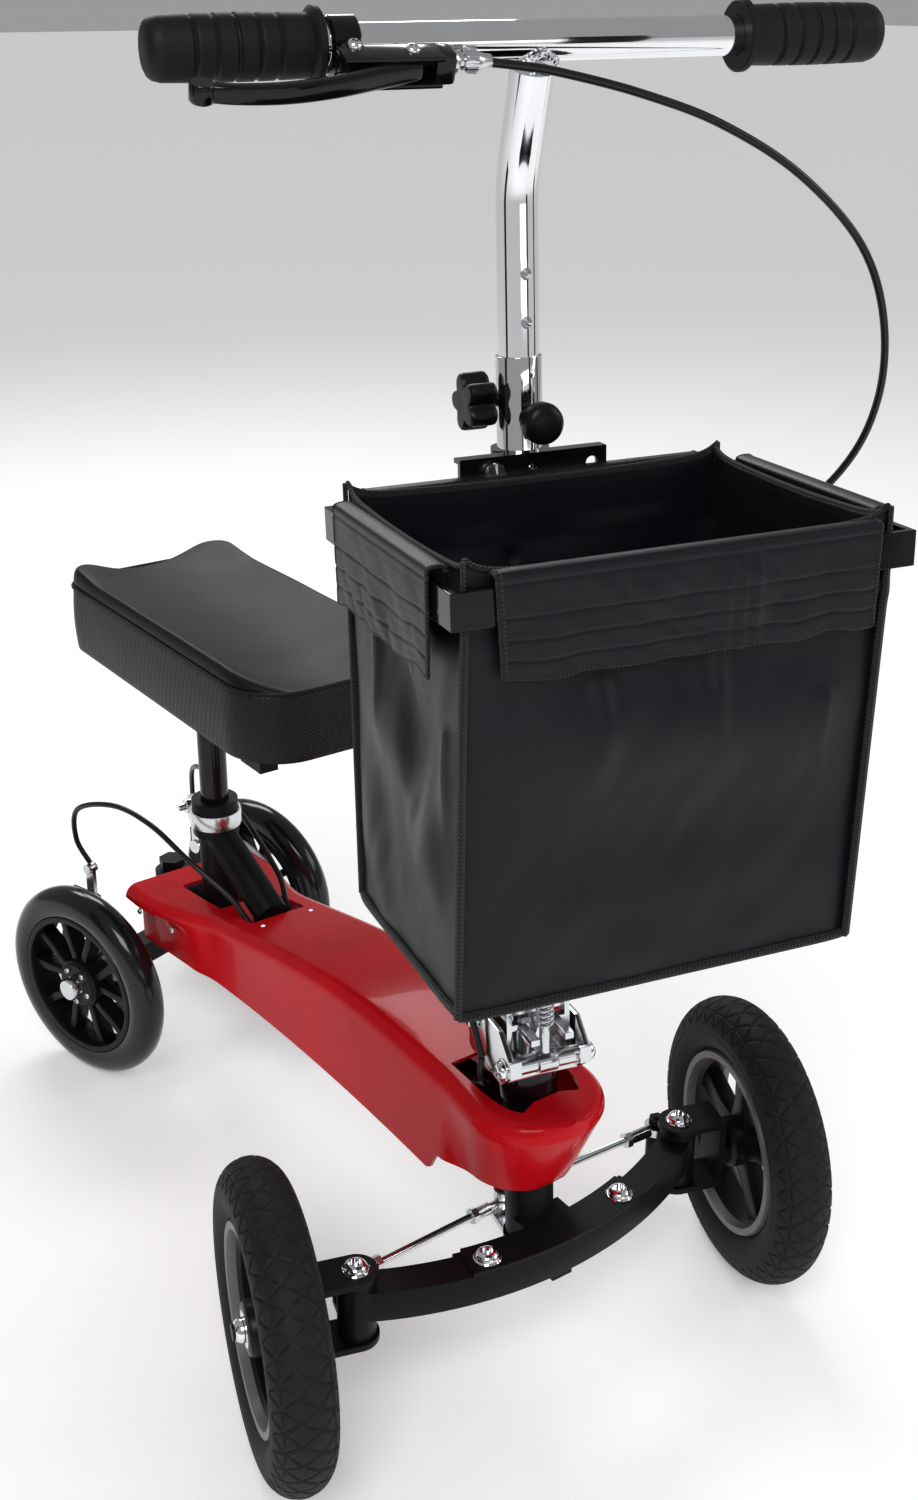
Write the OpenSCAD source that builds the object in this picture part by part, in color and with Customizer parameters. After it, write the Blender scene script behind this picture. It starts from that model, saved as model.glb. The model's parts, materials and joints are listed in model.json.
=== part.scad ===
// Knee scooter: tiller column with basket, arched front beam, covered backbone, knee pad and turning rear axle.
// Front is -Y, up is +Z, millimetres. The steering axis meets the floor at the origin.

/* [Wheels] */
// Front tyre radius
front_r = 115; // [95:1:130]
// Front tyre section radius
front_sec = 23; // [18:0.5:28]
// Rear tyre radius
rear_r = 95; // [80:1:105]
// Rear tyre section radius
rear_sec = 15; // [12:0.5:20]
// Distance from the steering axis to the rear axle
wheelbase = 585; // [560:5:640]
// Half of the rear track
rear_half = 118; // [112:1:130]

/* [Front end] */
// Half distance between the kingpins
king_x = 150; // [140:1:165]
// Kingpin to front wheel centre
king_off = 60; // [56:1:70]
// Beam bar side
beam_w = 25; // [20:1:30]
// Radius the beam is bent to
beam_bend = 300; // [280:5:340]

/* [Steering] */
// Backward lean of the steering axis
rake = 3; // [0:0.5:8]
// Steering angle the scooter is drawn at
turn = -13.5; // [-16:0.5:16]
// Front wheel angle over column angle
front_ratio = 1.25; // [1:0.05:1.4]
// Rear axle angle over column angle
rear_ratio = 1.333; // [1:0.05:1.4]

/* [Column] */
// Top of the lower column tube
sleeve_top = 758; // [700:1:800]
// Handlebar height along the steering axis
bar_z = 935; // [900:1:980]
// Handlebar offset in front of the column
bar_y = -30; // [-45:1:-15]
// Width over the grips
bar_w = 444; // [400:2:520]
// Grip length
grip_len = 95; // [80:1:120]

/* [Basket] */
// Basket frame width
basket_w = 271; // [240:1:300]
// Basket frame depth
basket_d = 202; // [170:1:220]
// Basket frame top height along the steering axis
basket_z = 684; // [650:1:720]
// Bag height
bag_h = 238; // [190:1:244]

/* [Seat] */
// Knee pad length
pad_l = 350; // [300:2:380]
// Knee pad width
pad_w = 160; // [140:1:190]
// Knee pad base height
pad_z = 412; // [400:1:440]
// Seat post centre behind the steering axis
post_y = 485; // [475:1:495]

/* [Cover] */
// Cover half width along its waist
cover_w = 49; // [45:0.5:54]
// Cover half width at the tail
tail_w = 69; // [62:0.5:70]
// Cover wall
wall = 3; // [2:0.5:4]

/* [Hidden] */
$fn = 64;
fit = 0.3;                       // gap between turning or sliding pieces
stem_r = 12.7;
column_r = 14.3;
head_r = 18;
cable_r = 2.5;
bar_r = 11.1;
grip_r = 16.5;
king_y = 10;
beam_top = 134;
beam_c = king_y + sqrt(pow(beam_bend, 2) - pow(king_x, 2));
axle_r = 6;
arm_len = 38;                    // knuckle steering arm
pitman = arm_len * front_ratio;  // pitman arm that gives the front ratio
rod_z = [104.3, 112.3];           // left and right tie rod heights
collar_r = 21;
fold_y = 22;
fold_z = 289;
latch_y = -31;
latch_z = 277;
hole_step = 28.3;
pin_z = 722;
wheel_turn = turn * front_ratio;
tail_turn = -turn * rear_ratio;
perch_tilt = 25;
rotor_x = 27;                    // brake disc, inboard of the wheel centre

// ---- frames of reference
module on_col() { rotate([-rake, 0, 0]) rotate([0, 0, turn]) children(); }
module on_bar() { on_col() translate([0, bar_y, bar_z]) rotate([perch_tilt, 0, 0]) children(); }
module on_king(s) { translate([s * king_x, king_y, 0]) rotate([0, 0, wheel_turn]) children(); }
module on_tail() { translate([0, wheelbase, 0]) rotate([0, 0, tail_turn]) children(); }
module on_front(s) { on_king(s) translate([s * king_off, 0, front_r]) children(); }
module on_rear(s) { on_tail() translate([s * rear_half, 0, rear_r]) children(); }

// ---- helpers
module xcyl(r, x0, x1) { translate([x0, 0, 0]) rotate([0, 90, 0]) cylinder(r = r, h = x1 - x0); }
module ycyl(r, y0, y1) { translate([0, y0, 0]) rotate([-90, 0, 0]) cylinder(r = r, h = y1 - y0); }
module block(a, b) { translate(a) cube(b - a); }
module xpipe(r, ri, x0, x1) {
    difference() { xcyl(r, x0, x1); xcyl(ri, x0 - 1, x1 + 1); }
}
module button(r, h) { cylinder(r = r, h = h * 0.45); translate([0, 0, h * 0.45]) cylinder(r1 = r, r2 = r * 0.6, h = h * 0.55); }

// point on a smooth curve through the points p
function knot(p, i) = p[max(0, min(len(p) - 1, i))];
function curve(p, i, t) = 0.5 * (2 * knot(p, i) + (knot(p, i + 1) - knot(p, i - 1)) * t
    + (2 * knot(p, i - 1) - 5 * knot(p, i) + 4 * knot(p, i + 1) - knot(p, i + 2)) * t * t
    + (3 * knot(p, i) - knot(p, i - 1) - 3 * knot(p, i + 1) + knot(p, i + 2)) * t * t * t);
function path(p, n) = concat([for (i = [0:len(p) - 2], k = [0:n - 1]) curve(p, i, k / n)], [p[len(p) - 1]]);
function unit(v) = v / norm(v);
module sweep(q, r, ref) {
    n = len(q);
    m = 8;
    dirs = [for (i = [0:n - 1]) unit(q[min(n - 1, i + 1)] - q[max(0, i - 1)])];
    polyhedron(
        points = [for (i = [0:n - 1]) let (u = unit(cross(ref, dirs[i])), w = cross(dirs[i], u))
            for (k = [0:m - 1]) q[i] + r * (cos(k * 360 / m) * u + sin(k * 360 / m) * w)],
        faces = concat([[for (k = [0:m - 1]) k]],
            [for (i = [0:n - 2], k = [0:m - 1])
                [i * m + k, (i + 1) * m + k, (i + 1) * m + (k + 1) % m, i * m + (k + 1) % m]],
            [[for (k = [m - 1:-1:0]) (n - 1) * m + k]]));
}

// ---- chassis
module beam_arc(r0, r1, z0, z1, half) {
    translate([0, beam_c, 0]) intersection() {
        difference() {
            translate([0, 0, z0]) cylinder(r = r1, h = z1 - z0, $fn = 180);
            translate([0, 0, z0 - 1]) cylinder(r = r0, h = z1 - z0 + 2, $fn = 180);
        }
        translate([0, 0, z0]) linear_extrude(z1 - z0)
            polygon([[0, 0], [-2 * half, -2 * r1 * 0.98], [2 * half, -2 * r1 * 0.98]]);
    }
}
module frame() {
    color([0.05, 0.05, 0.055]) {
        difference() {
            union() {
                rotate([-rake, 0, 0]) translate([0, 0, 113]) cylinder(r = head_r, h = 122);
                block([-21, -15.5, beam_top - beam_w + 6], [21, 0, beam_top + 3]);
                translate([0, 20, 187]) rotate([-4.2, 0, 0]) block([-21, 0, -17], [21, 556, 17]);
                translate([0, wheelbase, 112]) cylinder(r = 17, h = 52);
            }
            rotate([-rake, 0, 0]) translate([0, 0, 110]) cylinder(r = stem_r + fit, h = 130);
            translate([0, wheelbase, 100]) cylinder(r = 9 + fit, h = 80);
            translate([0, post_y, 60]) cylinder(r = stem_r + fit, h = 160);
        }
        beam_arc(beam_bend - beam_w / 2 - 3, beam_bend + beam_w / 2, beam_top, beam_top + 3, 80);
        beam_arc(beam_bend - beam_w / 2 - 3, beam_bend - beam_w / 2, beam_top - beam_w, beam_top, 80);
        difference() {
            union() {
                translate([0, post_y, 166]) cylinder(r = 16, h = 80);
                translate([0, post_y, 247]) cylinder(r = collar_r, h = 34);
                translate([0, post_y, 247.8]) rotate([113.4, 0, 0]) cylinder(r = 15, h = 110);
                block([-11, 384, 160], [11, 400, 205]);
            }
            translate([0, post_y, 130]) cylinder(r = stem_r + fit, h = 160);
            block([-1.5, post_y + 8, 251], [1.5, post_y + 24, 282]);
        }
    }
}
// cover half width, top and bottom heights along Y
nose_y = 8;
nose_r = cover_w + 4;
tail_y = 544;
function ease(a, b, y) = let (t = max(0, min(1, (y - a) / (b - a)))) t * t * (3 - 2 * t);
function half_top(y) = y < nose_y ? sqrt(max(0, pow(nose_r, 2) - pow(y - nose_y, 2)))
    : nose_r - 4 * ease(nose_y, 60, y) + (tail_w - cover_w) * ease(400, 520, y);
function half_bot(y) = let (r = nose_r - 12, c = nose_y + 14)
    y < c ? sqrt(max(0, pow(r, 2) - pow(y - c, 2))) : min(half_top(y), r + 12 * ease(c, 66, y)) ;
function top_z(y) = 184 + 60 * (1 - ease(150, 560, y)) - 4 * (1 - ease(-20, 150, y));
function bot_z(y) = y < 60 ? 170 : 124 + 30 * (1 - pow((y - 190) / 350, 2)) + (y < 68 ? (68 - y) * 2 : 0);
front_y = nose_y - nose_r;
stations = concat([for (k = [1:7]) nose_y - nose_r * cos(k * 12)],
    [nose_y, 22, 40, 58, 68], [for (k = [1:16]) 68 + (tail_y - 68) * k / 16]);
function low_z(y) = half_bot(y) > 1 ? bot_z(y)
    : let (c0 = nose_y + 14 - nose_r + 12) bot_z(y) + (top_z(y) - 12 - bot_z(y)) * max(0, min(1, (c0 - y) / (c0 - front_y)));
// one cross-section, from the lower left edge over the top to the lower right one
function section(y, off, rr, drop) = let (w = max(3, half_top(y) - off), b = max(2, min(w, half_bot(y) - off)),
    t = top_z(y) - off, l = low_z(y) - drop, r = min(rr, w * 0.8, (t - l) * 0.8))
    let (side = [for (k = [0:5]) let (a = k * 18) [w - r + r * cos(a), t - r + r * sin(a)]])
    concat([[-b, l]], [for (q = side) [-q[0], q[1]]], [for (k = [5:-1:0]) side[k]], [[b, l]]);
module loft(ys, off, rr, drop) {
    n = len(ys);
    m = 14;
    polyhedron(
        points = [for (y = ys) for (q = section(y, off, rr, drop)) [q[0], y, q[1]]],
        faces = concat([[for (k = [0:m - 1]) k]],
            [for (i = [0:n - 2], k = [0:m - 1])
                [i * m + k, (i + 1) * m + k, (i + 1) * m + (k + 1) % m, i * m + (k + 1) % m]],
            [[for (k = [m - 1:-1:0]) (n - 1) * m + k]]));
}
// screw places: x, y, z and the sideways tip of the head
screw_places = concat([for (x = [-24, 24]) [x, 358, top_z(358) - 1.6, 0]],
    [for (s = [-1, 1], d = [[470, 168], [522, 166]]) [s * (side_x(d[0], d[1]) - 1.5), d[0], d[1], s * 90]]);
function side_x(y, z) = let (b = min(half_top(y), half_bot(y)), k = (z - low_z(y)) / (top_z(y) - 12 - low_z(y)))
    b + (half_top(y) - b) * k;
module screw_frame(p) { translate([p[0], p[1], p[2]]) rotate([0, p[3], 0]) children(); }
module cover() {
    color([0.75, 0.02, 0.03]) difference() {
        loft(stations, 0, 12, 0);
        loft([for (k = [2:len(stations) - 1]) stations[k] - (k > 8 ? wall : 0)], wall, 10, 6);
        // mouth round the head tube, with a tongue left at the front
        difference() {
            union() {
                translate([0, 22, 205]) cylinder(r = 32, h = 60);
                block([-32, 24, 205], [32, 62, 265]);
            }
            block([-11, -40, 200], [11, -10, 270]);
        }
        translate([0, 25, 150]) cylinder(r = 26, h = 60);
        block([-27, 373, 176], [27, post_y + 24, 240]);
        for (p = screw_places) screw_frame(p) cylinder(r = 3.4, h = 12);
        block([-25, tail_y - 20, 120], [25, tail_y + 5, 171]);
    }
}
module cover_screws() {
    color([0.8, 0.8, 0.82]) for (p = screw_places) screw_frame(p) button(3, 2.6);
}
module beam() {
    color([0.06, 0.06, 0.065]) {
        difference() {
            beam_arc(beam_bend - beam_w / 2, beam_bend + beam_w / 2, beam_top - beam_w, beam_top, king_x * 1.13);
            for (s = [-1, 1]) translate([s * king_x, king_y, 80]) cylinder(r = 13.9, h = 80);
        }
        block([-9, beam_c - beam_bend - 4, 96], [9, beam_c - beam_bend + 4, beam_top - beam_w]);
        for (s = [-1, 1]) translate([s * king_x, king_y, 91 + fit]) difference() {
            cylinder(r = 14, h = 50 - 2 * fit);
            translate([0, 0, -1]) cylinder(r = 5 + fit, h = 60);
        }
    }
}
module beam_bolts() {
    color([0.8, 0.8, 0.82]) for (x = [-61, 61])
        translate([x, beam_c - sqrt(pow(beam_bend, 2) - x * x), beam_top + 3]) {
            button(9, 6);
            translate([0, 0, -beam_w - 3 - 6]) cylinder(r = 6.5, h = 6, $fn = 6);
        }
}
module head_cups() {
    color([0.04, 0.04, 0.045]) rotate([-rake, 0, 0]) {
        for (z = [[235, 259.5, 21.5], [106.5, 113, 20]]) difference() {
            translate([0, 0, z[0]]) cylinder(r = z[2], h = z[1] - z[0]);
            translate([0, 0, z[0] - 1]) cylinder(r = stem_r + fit, h = 40);
        }
    }
}
module kingpin_bolts() {
    color([0.82, 0.82, 0.84]) for (s = [-1, 1]) translate([s * king_x, king_y, 0]) {
        translate([0, 0, 146 + fit]) button(9, 6);
        translate([0, 0, 80]) cylinder(r = 5, h = 67);
        translate([0, 0, 77]) cylinder(r = 8, h = 8 - fit, $fn = 6);
    }
}
module seat_clamp() {
    color([0.8, 0.8, 0.82]) translate([0, post_y, 256]) rotate([0, 0, 90]) difference() {
        union() { cylinder(r = collar_r + 2.5, h = 15); block([15, -9, 0], [38, 9, 15]); }
        translate([0, 0, -1]) cylinder(r = collar_r, h = 18);
        block([0, -2, -1], [40, 2, 17]);
        translate([31, 0, 7.5]) ycyl(3.2, -20, 20);
    }
}
module clamp_bolt() {
    color([0.8, 0.8, 0.82]) translate([0, post_y + 31, 263.5]) {
        xcyl(3, -22, 16);
        xcyl(7, -15, -9);
        xcyl(7, 9, 15);
    }
}

// ---- steerer and fold head
module steerer() {
    color([0.3, 0.3, 0.32]) on_col() {
        translate([0, 0, 96]) cylinder(r = stem_r, h = 164);
        translate([0, 0, 90]) cylinder(r = 15, h = 7, $fn = 6);
        block([-12, 0, 96], [12, pitman, 101]);
        translate([0, pitman, 90]) {
            translate([0, 0, 6]) cylinder(r = 9, h = 5);
            cylinder(r = 3, h = 34);
            cylinder(r = 6, h = 7, $fn = 6);
            translate([0, 0, 29.4]) cylinder(r = 6, h = 5, $fn = 6);
        }
    }
}
module fold_base() {
    color([0.8, 0.81, 0.83]) on_col() {
        block([-31, -36, 260], [31, 32, 265]);
        for (s = [-1, 1]) difference() {
            translate([s > 0 ? 27 : -31, 0, 0]) rotate([90, 0, 90]) linear_extrude(4)
                polygon([[-40, 262], [34, 262], [34, 290], [24, 302], [-22, 302], [-40, 284]]);
            translate([0, fold_y, fold_z]) xcyl(4.1, -40, 40);
            translate([0, latch_y, latch_z]) xcyl(4.1, -40, 40);
        }
        translate([0, fold_y, fold_z]) { xcyl(4, -33, 33); xcyl(7, -36, -31); xcyl(7, 31, 36); }
        translate([0, latch_y, latch_z]) {
            xcyl(4, -33, 33);
            for (s = [-1, 1]) { xcyl(7, s > 0 ? 31 : -36, s > 0 ? 36 : -31); xcyl(6.5, s > 0 ? 8 : -27, s > 0 ? 27 : -8); }
        }
    }
}

// ---- column
module column_tube() {
    color([0.82, 0.83, 0.85]) on_col() difference() {
        translate([0, 0, 272]) cylinder(r = column_r, h = sleeve_top - 272);
        translate([0, 0, 300]) cylinder(r = stem_r + fit, h = 500);
        translate([0, 0, pin_z]) ycyl(3.5, -20, 0);
    }
}
module fold_top() {
    color([0.8, 0.81, 0.83]) on_col() difference() {
        union() {
            block([-23, -18, 268], [23, 8, 273]);
            for (s = [-1, 1]) translate([s > 0 ? 20 : -24, 0, 0]) rotate([90, 0, 90]) linear_extrude(4)
                polygon([[-20, 268], [8, 268], [32, 282], [32, 296], [14, 330], [-14, 330], [-20, 312]]);
            block([-21, -16, 308], [21, 14, 313]);
            block([-16, -44, 298], [16, -13, 303]);
            block([-24, -20, 298], [24, -13, 303]);
        }
        translate([0, 0, 260]) cylinder(r = column_r, h = 90);
        translate([0, fold_y, fold_z]) xcyl(4.3, -40, 40);
        block([-9.6, -50, 290], [9.6, -20.5, 310]);
    }
}
module basket_bracket() {
    color([0.05, 0.05, 0.055]) on_col() difference() {
        union() {
            difference() {
                translate([0, 0, 668]) cylinder(r = column_r + 4, h = 34);
                translate([0, 0, 660]) cylinder(r = column_r, h = 60);
            }
            block([-49, -22, 666], [49, -18, 702]);
            block([-49, -22, 699], [49, -12, 702]);
        }
        translate([0, 0, 660]) cylinder(r = column_r, h = 60);
        translate([39, 0, 692]) ycyl(4, -30, 0);
        translate([-28, 0, 692]) ycyl(4, -30, 0);
        translate([0, 0, 692]) ycyl(4, -30, 0);
    }
}
module basket_bolt() {
    color([0.8, 0.8, 0.82]) on_col() {
        translate([-28, 0, 692]) { ycyl(3.9, -24, -12); ycyl(7, -27, -22); }
    }
}
module basket_frame() {
    color([0.04, 0.04, 0.045]) on_col() difference() {
        block([-basket_w / 2, -22 - basket_d, basket_z - 20], [basket_w / 2, -22, basket_z]);
        block([-basket_w / 2 + 4, -18 - basket_d, basket_z - 30], [basket_w / 2 - 4, -26, basket_z + 10]);
    }
}
module bag_form(g, z0, z1) {
    a = basket_w / 2 + 1.6 - g;
    hull() {
        translate([0, 0, z1 - 0.1]) linear_extrude(0.1)
            polygon([[-a, -22 - basket_d - 1.6 + g], [a, -22 - basket_d - 1.6 + g], [a, -24 - g], [-a, -24 - g]]);
        translate([0, 0, z0]) linear_extrude(0.1)
            polygon([[-a, -22 - basket_d - 1.6 + g], [a * 0.86, -22 - basket_d - 1.6 + g], [a * 0.86, -46 - g],
                [-a, -46 - g]]);
    }
}
module basket_bag() {
    color([0.07, 0.08, 0.1]) on_col() difference() {
        bag_form(0, basket_z - bag_h, basket_z - 18);
        bag_form(2.2, basket_z - bag_h + 3, basket_z + 2);
        difference() {
            block([-basket_w, -30 - basket_d, basket_z - 20.2], [basket_w, 0, basket_z]);
        }
    }
    color([0.07, 0.08, 0.1]) on_col() for (s = [-1, 1])
        difference() {
            block([s > 0 ? basket_w / 2 : -basket_w / 2 - 1.6, 8 - basket_d, basket_z - 46],
                [s > 0 ? basket_w / 2 + 1.6 : -basket_w / 2, -50, basket_z + 1.6]);
        }
    color([0.07, 0.08, 0.1]) on_col() {
        block([-basket_w / 2 + 24, -23.6 - basket_d, basket_z - 46], [basket_w / 2 - 24, -22 - basket_d, basket_z + 1.6]);
    }
}
module star_knob() {
    color([0.03, 0.03, 0.03]) on_col() translate([0, 0, 732]) {
        xcyl(4, -22, -column_r - 0.4);
        for (k = [0:4]) rotate([k * 72, 0, 0]) translate([0, 12.5, 0]) xcyl(6.4, -37, -21);
        xcyl(14, -38, -20);
    }
}
module pull_pin() {
    color([0.1, 0.1, 0.1]) on_col() translate([0, 0, pin_z]) {
        ycyl(3, -30, -stem_r - 1);
        ycyl(12.5, -42, -30);
        ycyl(7, -29, -column_r - 1);
    }
}
module eye_bolt() {
    color([0.8, 0.8, 0.82]) on_col() difference() {
        translate([0, latch_y, latch_z]) { xcyl(8, -7, 7); cylinder(r = 3.5, h = 62); }
        translate([0, latch_y, latch_z]) xcyl(4 + fit, -20, 20);
    }
}
module eye_spring() {
    color([0.7, 0.7, 0.72]) on_col() translate([0, latch_y, 304.2])
        sweep([for (k = [0:60]) [5.6 * cos(k * 30), 5.6 * sin(k * 30), k * 20 / 60]], 0.9, [0.01, 0.02, 1]);
}
module eye_nut() {
    color([0.82, 0.82, 0.84]) on_col() translate([0, latch_y, 326]) difference() {
        union() { cylinder(r = 9, h = 3); translate([0, 0, 3]) cylinder(r = 7.5, h = 11, $fn = 6); }
        translate([0, 0, -1]) cylinder(r = 3.5, h = 20);
    }
}

// ---- stem and handlebar
bend_z = 859;
bend_len = sqrt(pow(bar_z - bend_z, 2) + pow(bar_y, 2));
module stem() {
    color([0.82, 0.83, 0.85]) on_col() {
        difference() {
            translate([0, 0, 562]) cylinder(r = stem_r, h = bend_z - 562);
            translate([0, 0, 560]) cylinder(r = stem_r - 1.8, h = bend_z - 570);
            for (k = [-3:3]) translate([0, 0, pin_z + k * hole_step]) ycyl(3.6, -20, 0);
        }
        translate([0, 0, bend_z]) sphere(r = stem_r + fit);
        difference() {
            translate([0, 0, bend_z]) rotate([atan2(-bar_y, bar_z - bend_z), 0, 0])
                cylinder(r = stem_r, h = bend_len - bar_r + 6);
            translate([0, bar_y, bar_z]) xcyl(bar_r, -20, 20);
        }
    }
}
module handlebar() {
    color([0.82, 0.83, 0.85]) on_col() translate([0, bar_y, bar_z])
        xpipe(bar_r, bar_r - 2, -bar_w / 2 + 3, bar_w / 2 - 3);
}
module grips() {
    color([0.06, 0.06, 0.065]) on_col() translate([0, bar_y, bar_z]) for (s = [-1, 1]) scale([s, 1, 1]) {
        difference() {
            union() {
                xcyl(grip_r, bar_w / 2 - grip_len, bar_w / 2 - 4);
                xcyl(grip_r + 3.5, bar_w / 2 - grip_len, bar_w / 2 - grip_len + 5);
                xcyl(grip_r - 3, bar_w / 2 - 4, bar_w / 2);
            }
            xcyl(bar_r, 0, bar_w / 2 - 3);
        }
    }
}
module brake_perch() {
    color([0.05, 0.05, 0.055]) on_bar() {
        difference() {
            union() {
                xcyl(bar_r + 3.5, -122, -108);
                block([-120, -26, -7], [-110, -10, 7]);
                block([-122, -34, -8], [-68, -20, 8]);
            }
            xcyl(bar_r, -140, -90);
            translate([-84, -27, -20]) cylinder(r = 3.3, h = 40);
            block([-124, -40, -5], [-67, -20, 5]);
        }
    }
}
module barrel_adjuster() {
    color([0.82, 0.82, 0.84]) on_bar() translate([0, -24, 0]) { xcyl(4, -72, -50); xcyl(6.5, -66, -58); xcyl(5.5, -57, -44.6); }
}
module brake_lever() {
    color([0.04, 0.04, 0.045]) on_bar() {
        difference() {
            union() {
                translate([-84, -27, -4]) cylinder(r = 7, h = 8);
                hull() {
                    translate([-90, -32, -4]) cylinder(r = 4, h = 8);
                    translate([-150, -52, -4.5]) cylinder(r = 4, h = 9);
                }
                hull() {
                    translate([-150, -52, -4.5]) cylinder(r = 4, h = 9);
                    translate([-206, -50, -4]) cylinder(r = 4.5, h = 8);
                }
            }
        }
        translate([-84, -27, -10]) cylinder(r = 3, h = 20);
    }
}

// ---- front knuckles, rods and wheels
module knuckle(s) {
    color([0.05, 0.05, 0.055]) on_king(s) {
        for (z = [[141, 146], [86, 91]]) difference() {
            union() {
                translate([0, 0, z[0]]) cylinder(r = 16, h = z[1] - z[0]);
                block([s > 0 ? 0 : -34, -16, z[0]], [s > 0 ? 34 : 0, 16, z[1]]);
            }
            translate([0, 0, z[0] - 1]) cylinder(r = 5 + fit, h = 8);
        }
        block([s > 0 ? 29 : -34, -16, 90], [s > 0 ? 34 : -29, 16, 142]);
        difference() {
            union() {
                block([-8, 13, 86], [8, arm_len, 91]);
                translate([0, arm_len, 86]) cylinder(r = 8, h = 5);
                block([-8, 13, 86], [8, 18, 91]);
            }
        }
        translate([0, arm_len, 86]) {
            cylinder(r = 8, h = rod_height(s) - 91);
            cylinder(r = 3, h = rod_height(s) - 74);
            translate([0, 0, rod_height(s) - 81]) cylinder(r = 7, h = 5, $fn = 6);
        }
        translate([0, 0, front_r]) { if (s > 0) xcyl(axle_r, 33, 89); else xcyl(axle_r, -89, -33); }
        translate([0, 0, front_r]) { if (s > 0) xcyl(10, 33, 37); else xcyl(10, -37, -33); }
    }
}
module knuckle_left() { knuckle(-1); }
module knuckle_right() { knuckle(1); }
// pin positions on the floor plan, so each rod runs from its pitman pin to its knuckle pin
function spin(p, a) = [p[0] * cos(a) - p[1] * sin(a), p[0] * sin(a) + p[1] * cos(a)];
function rod_height(s) = rod_z[s > 0 ? 1 : 0];
function inner(s) = spin([0, pitman], turn) + [0, rod_height(s) * sin(rake)];
function outer(s) = [s * king_x, king_y] + spin([0, arm_len], wheel_turn);
module tie_rod(s) {
    a = inner(s);
    b = outer(s);
    len = norm(b - a);
    color([0.75, 0.75, 0.77]) translate([a[0], a[1], rod_height(s)]) rotate([0, 0, atan2(b[1] - a[1], b[0] - a[0])])
        difference() {
            union() {
                translate([0, 0, -3.5]) cylinder(r = 8.5, h = 7);
                translate([len, 0, -3.5]) cylinder(r = 10, h = 7);
                xcyl(3, 6, len - 8);
                xcyl(3.6, 6, 28);
                xcyl(5, 16, 28);
                xcyl(5, len - 28, len - 8);
                translate([28, 0, 0]) rotate([0, 90, 0]) cylinder(r = 6.5, h = 5, $fn = 6);
                translate([len - 33, 0, 0]) rotate([0, 90, 0]) cylinder(r = 6.5, h = 5, $fn = 6);
            }
            translate([0, 0, -6]) cylinder(r = 3.6, h = 12);
            translate([len, 0, -6]) cylinder(r = 5.2, h = 12);
        }
}
module tie_rod_left() { tie_rod(-1); }
module tie_rod_right() { tie_rod(1); }
module tyre(r, sec, bore, half) {
    rotate([0, 90, 0]) intersection() {
        difference() {
            rotate_extrude($fn = 96) translate([r - sec, 0]) circle(r = sec);
            translate([0, 0, -50]) cylinder(r = bore, h = 100, $fn = 96);
        }
        translate([0, 0, -half]) cylinder(r = r + 1, h = 2 * half, $fn = 96);
    }
}
module front_rim(s) {
    difference() {
        union() {
            xpipe(73, 66, -19, 19);
            xpipe(66.2, 60, -4, 4);
            for (k = [0:4]) rotate([k * 72, 0, 0]) block([-7, -8, 14], [7, 8, 63]);
            xcyl(19, -20, 20);
        }
        xcyl(axle_r + fit, -30, 30);
    }
}
module front_left_tyre() { color([0.1, 0.1, 0.1]) on_front(-1) tyre(front_r, front_sec, 73, front_sec); }
module front_right_tyre() { color([0.1, 0.1, 0.1]) on_front(1) tyre(front_r, front_sec, 73, front_sec); }
module front_left_rim() { color([0.05, 0.05, 0.055]) on_front(-1) front_rim(-1); }
module front_right_rim() { color([0.05, 0.05, 0.055]) on_front(1) front_rim(1); }
module front_cap(s) {
    difference() {
        union() {
            if (s > 0) xcyl(11, 20, 31); else xcyl(11, -31, -20);
            rotate([60, 0, 0]) translate([s * 12, 0, 50]) rotate([0, s * 14, 0]) cylinder(r = 3, h = 15);
        }
        xcyl(axle_r + fit, -29.5, 29.5);
    }
}
module front_left_trim() { color([0.8, 0.8, 0.82]) on_front(-1) front_cap(-1); }
module front_right_trim() { color([0.8, 0.8, 0.82]) on_front(1) front_cap(1); }

// ---- rear truck, brakes and wheels
cal_y = 38;
cal_z = 148;
module rear_truck() {
    color([0.05, 0.05, 0.055]) on_tail() {
        block([-80, -11, rear_r - 11], [80, 11, rear_r + 11]);
        translate([0, 0, rear_r]) { xcyl(axle_r, -rear_half - 24, rear_half + 24); cylinder(r = 9, h = 74); }
        translate([0, 0, rear_r + 74]) cylinder(r = 13, h = 7, $fn = 6);
        for (s = [-1, 1]) translate([s * 74.9, 0, 0]) difference() {
            rotate([90, 0, 90]) translate([0, 0, -3]) linear_extrude(6)
                polygon([[-10, rear_r - 9], [10, rear_r - 9], [cal_y + 14, cal_z - 16], [cal_y + 10, cal_z - 4],
                    [cal_y - 18, cal_z - 10], [-10, rear_r + 9]]);
            translate([0, cal_y, cal_z]) xcyl(7.8, -5, 5);
        }
    }
}
module caliper(s) {
    rx = rear_half - rotor_x;
    color([0.1, 0.1, 0.11]) on_tail() translate([s * rx, cal_y, cal_z]) difference() {
        block([s > 0 ? -13 : -10.5, -20, -18], [s > 0 ? 10.5 : 13, 16, 14]);
        translate([0, -cal_y, rear_r - cal_z]) xcyl(67.2, -2.4, 2.4);
        translate([-s * 17, 0, 0]) xcyl(7.4, -11, 11);
    }
}
module caliper_left() { caliper(-1); }
module caliper_right() { caliper(1); }
module brake_arm(s) {
    rx = rear_half - rotor_x;
    color([0.75, 0.75, 0.77]) on_tail() translate([s * (rx - 17), cal_y, cal_z]) {
        xcyl(7, -7, 7);
        block([-2 - s * 3, -5, 4], [2 - s * 3, 5, 34]);
        translate([0, 0, 34]) xcyl(5, -5 - s * 3, 5 - s * 3);
    }
}
module brake_arm_left() { brake_arm(-1); }
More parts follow.
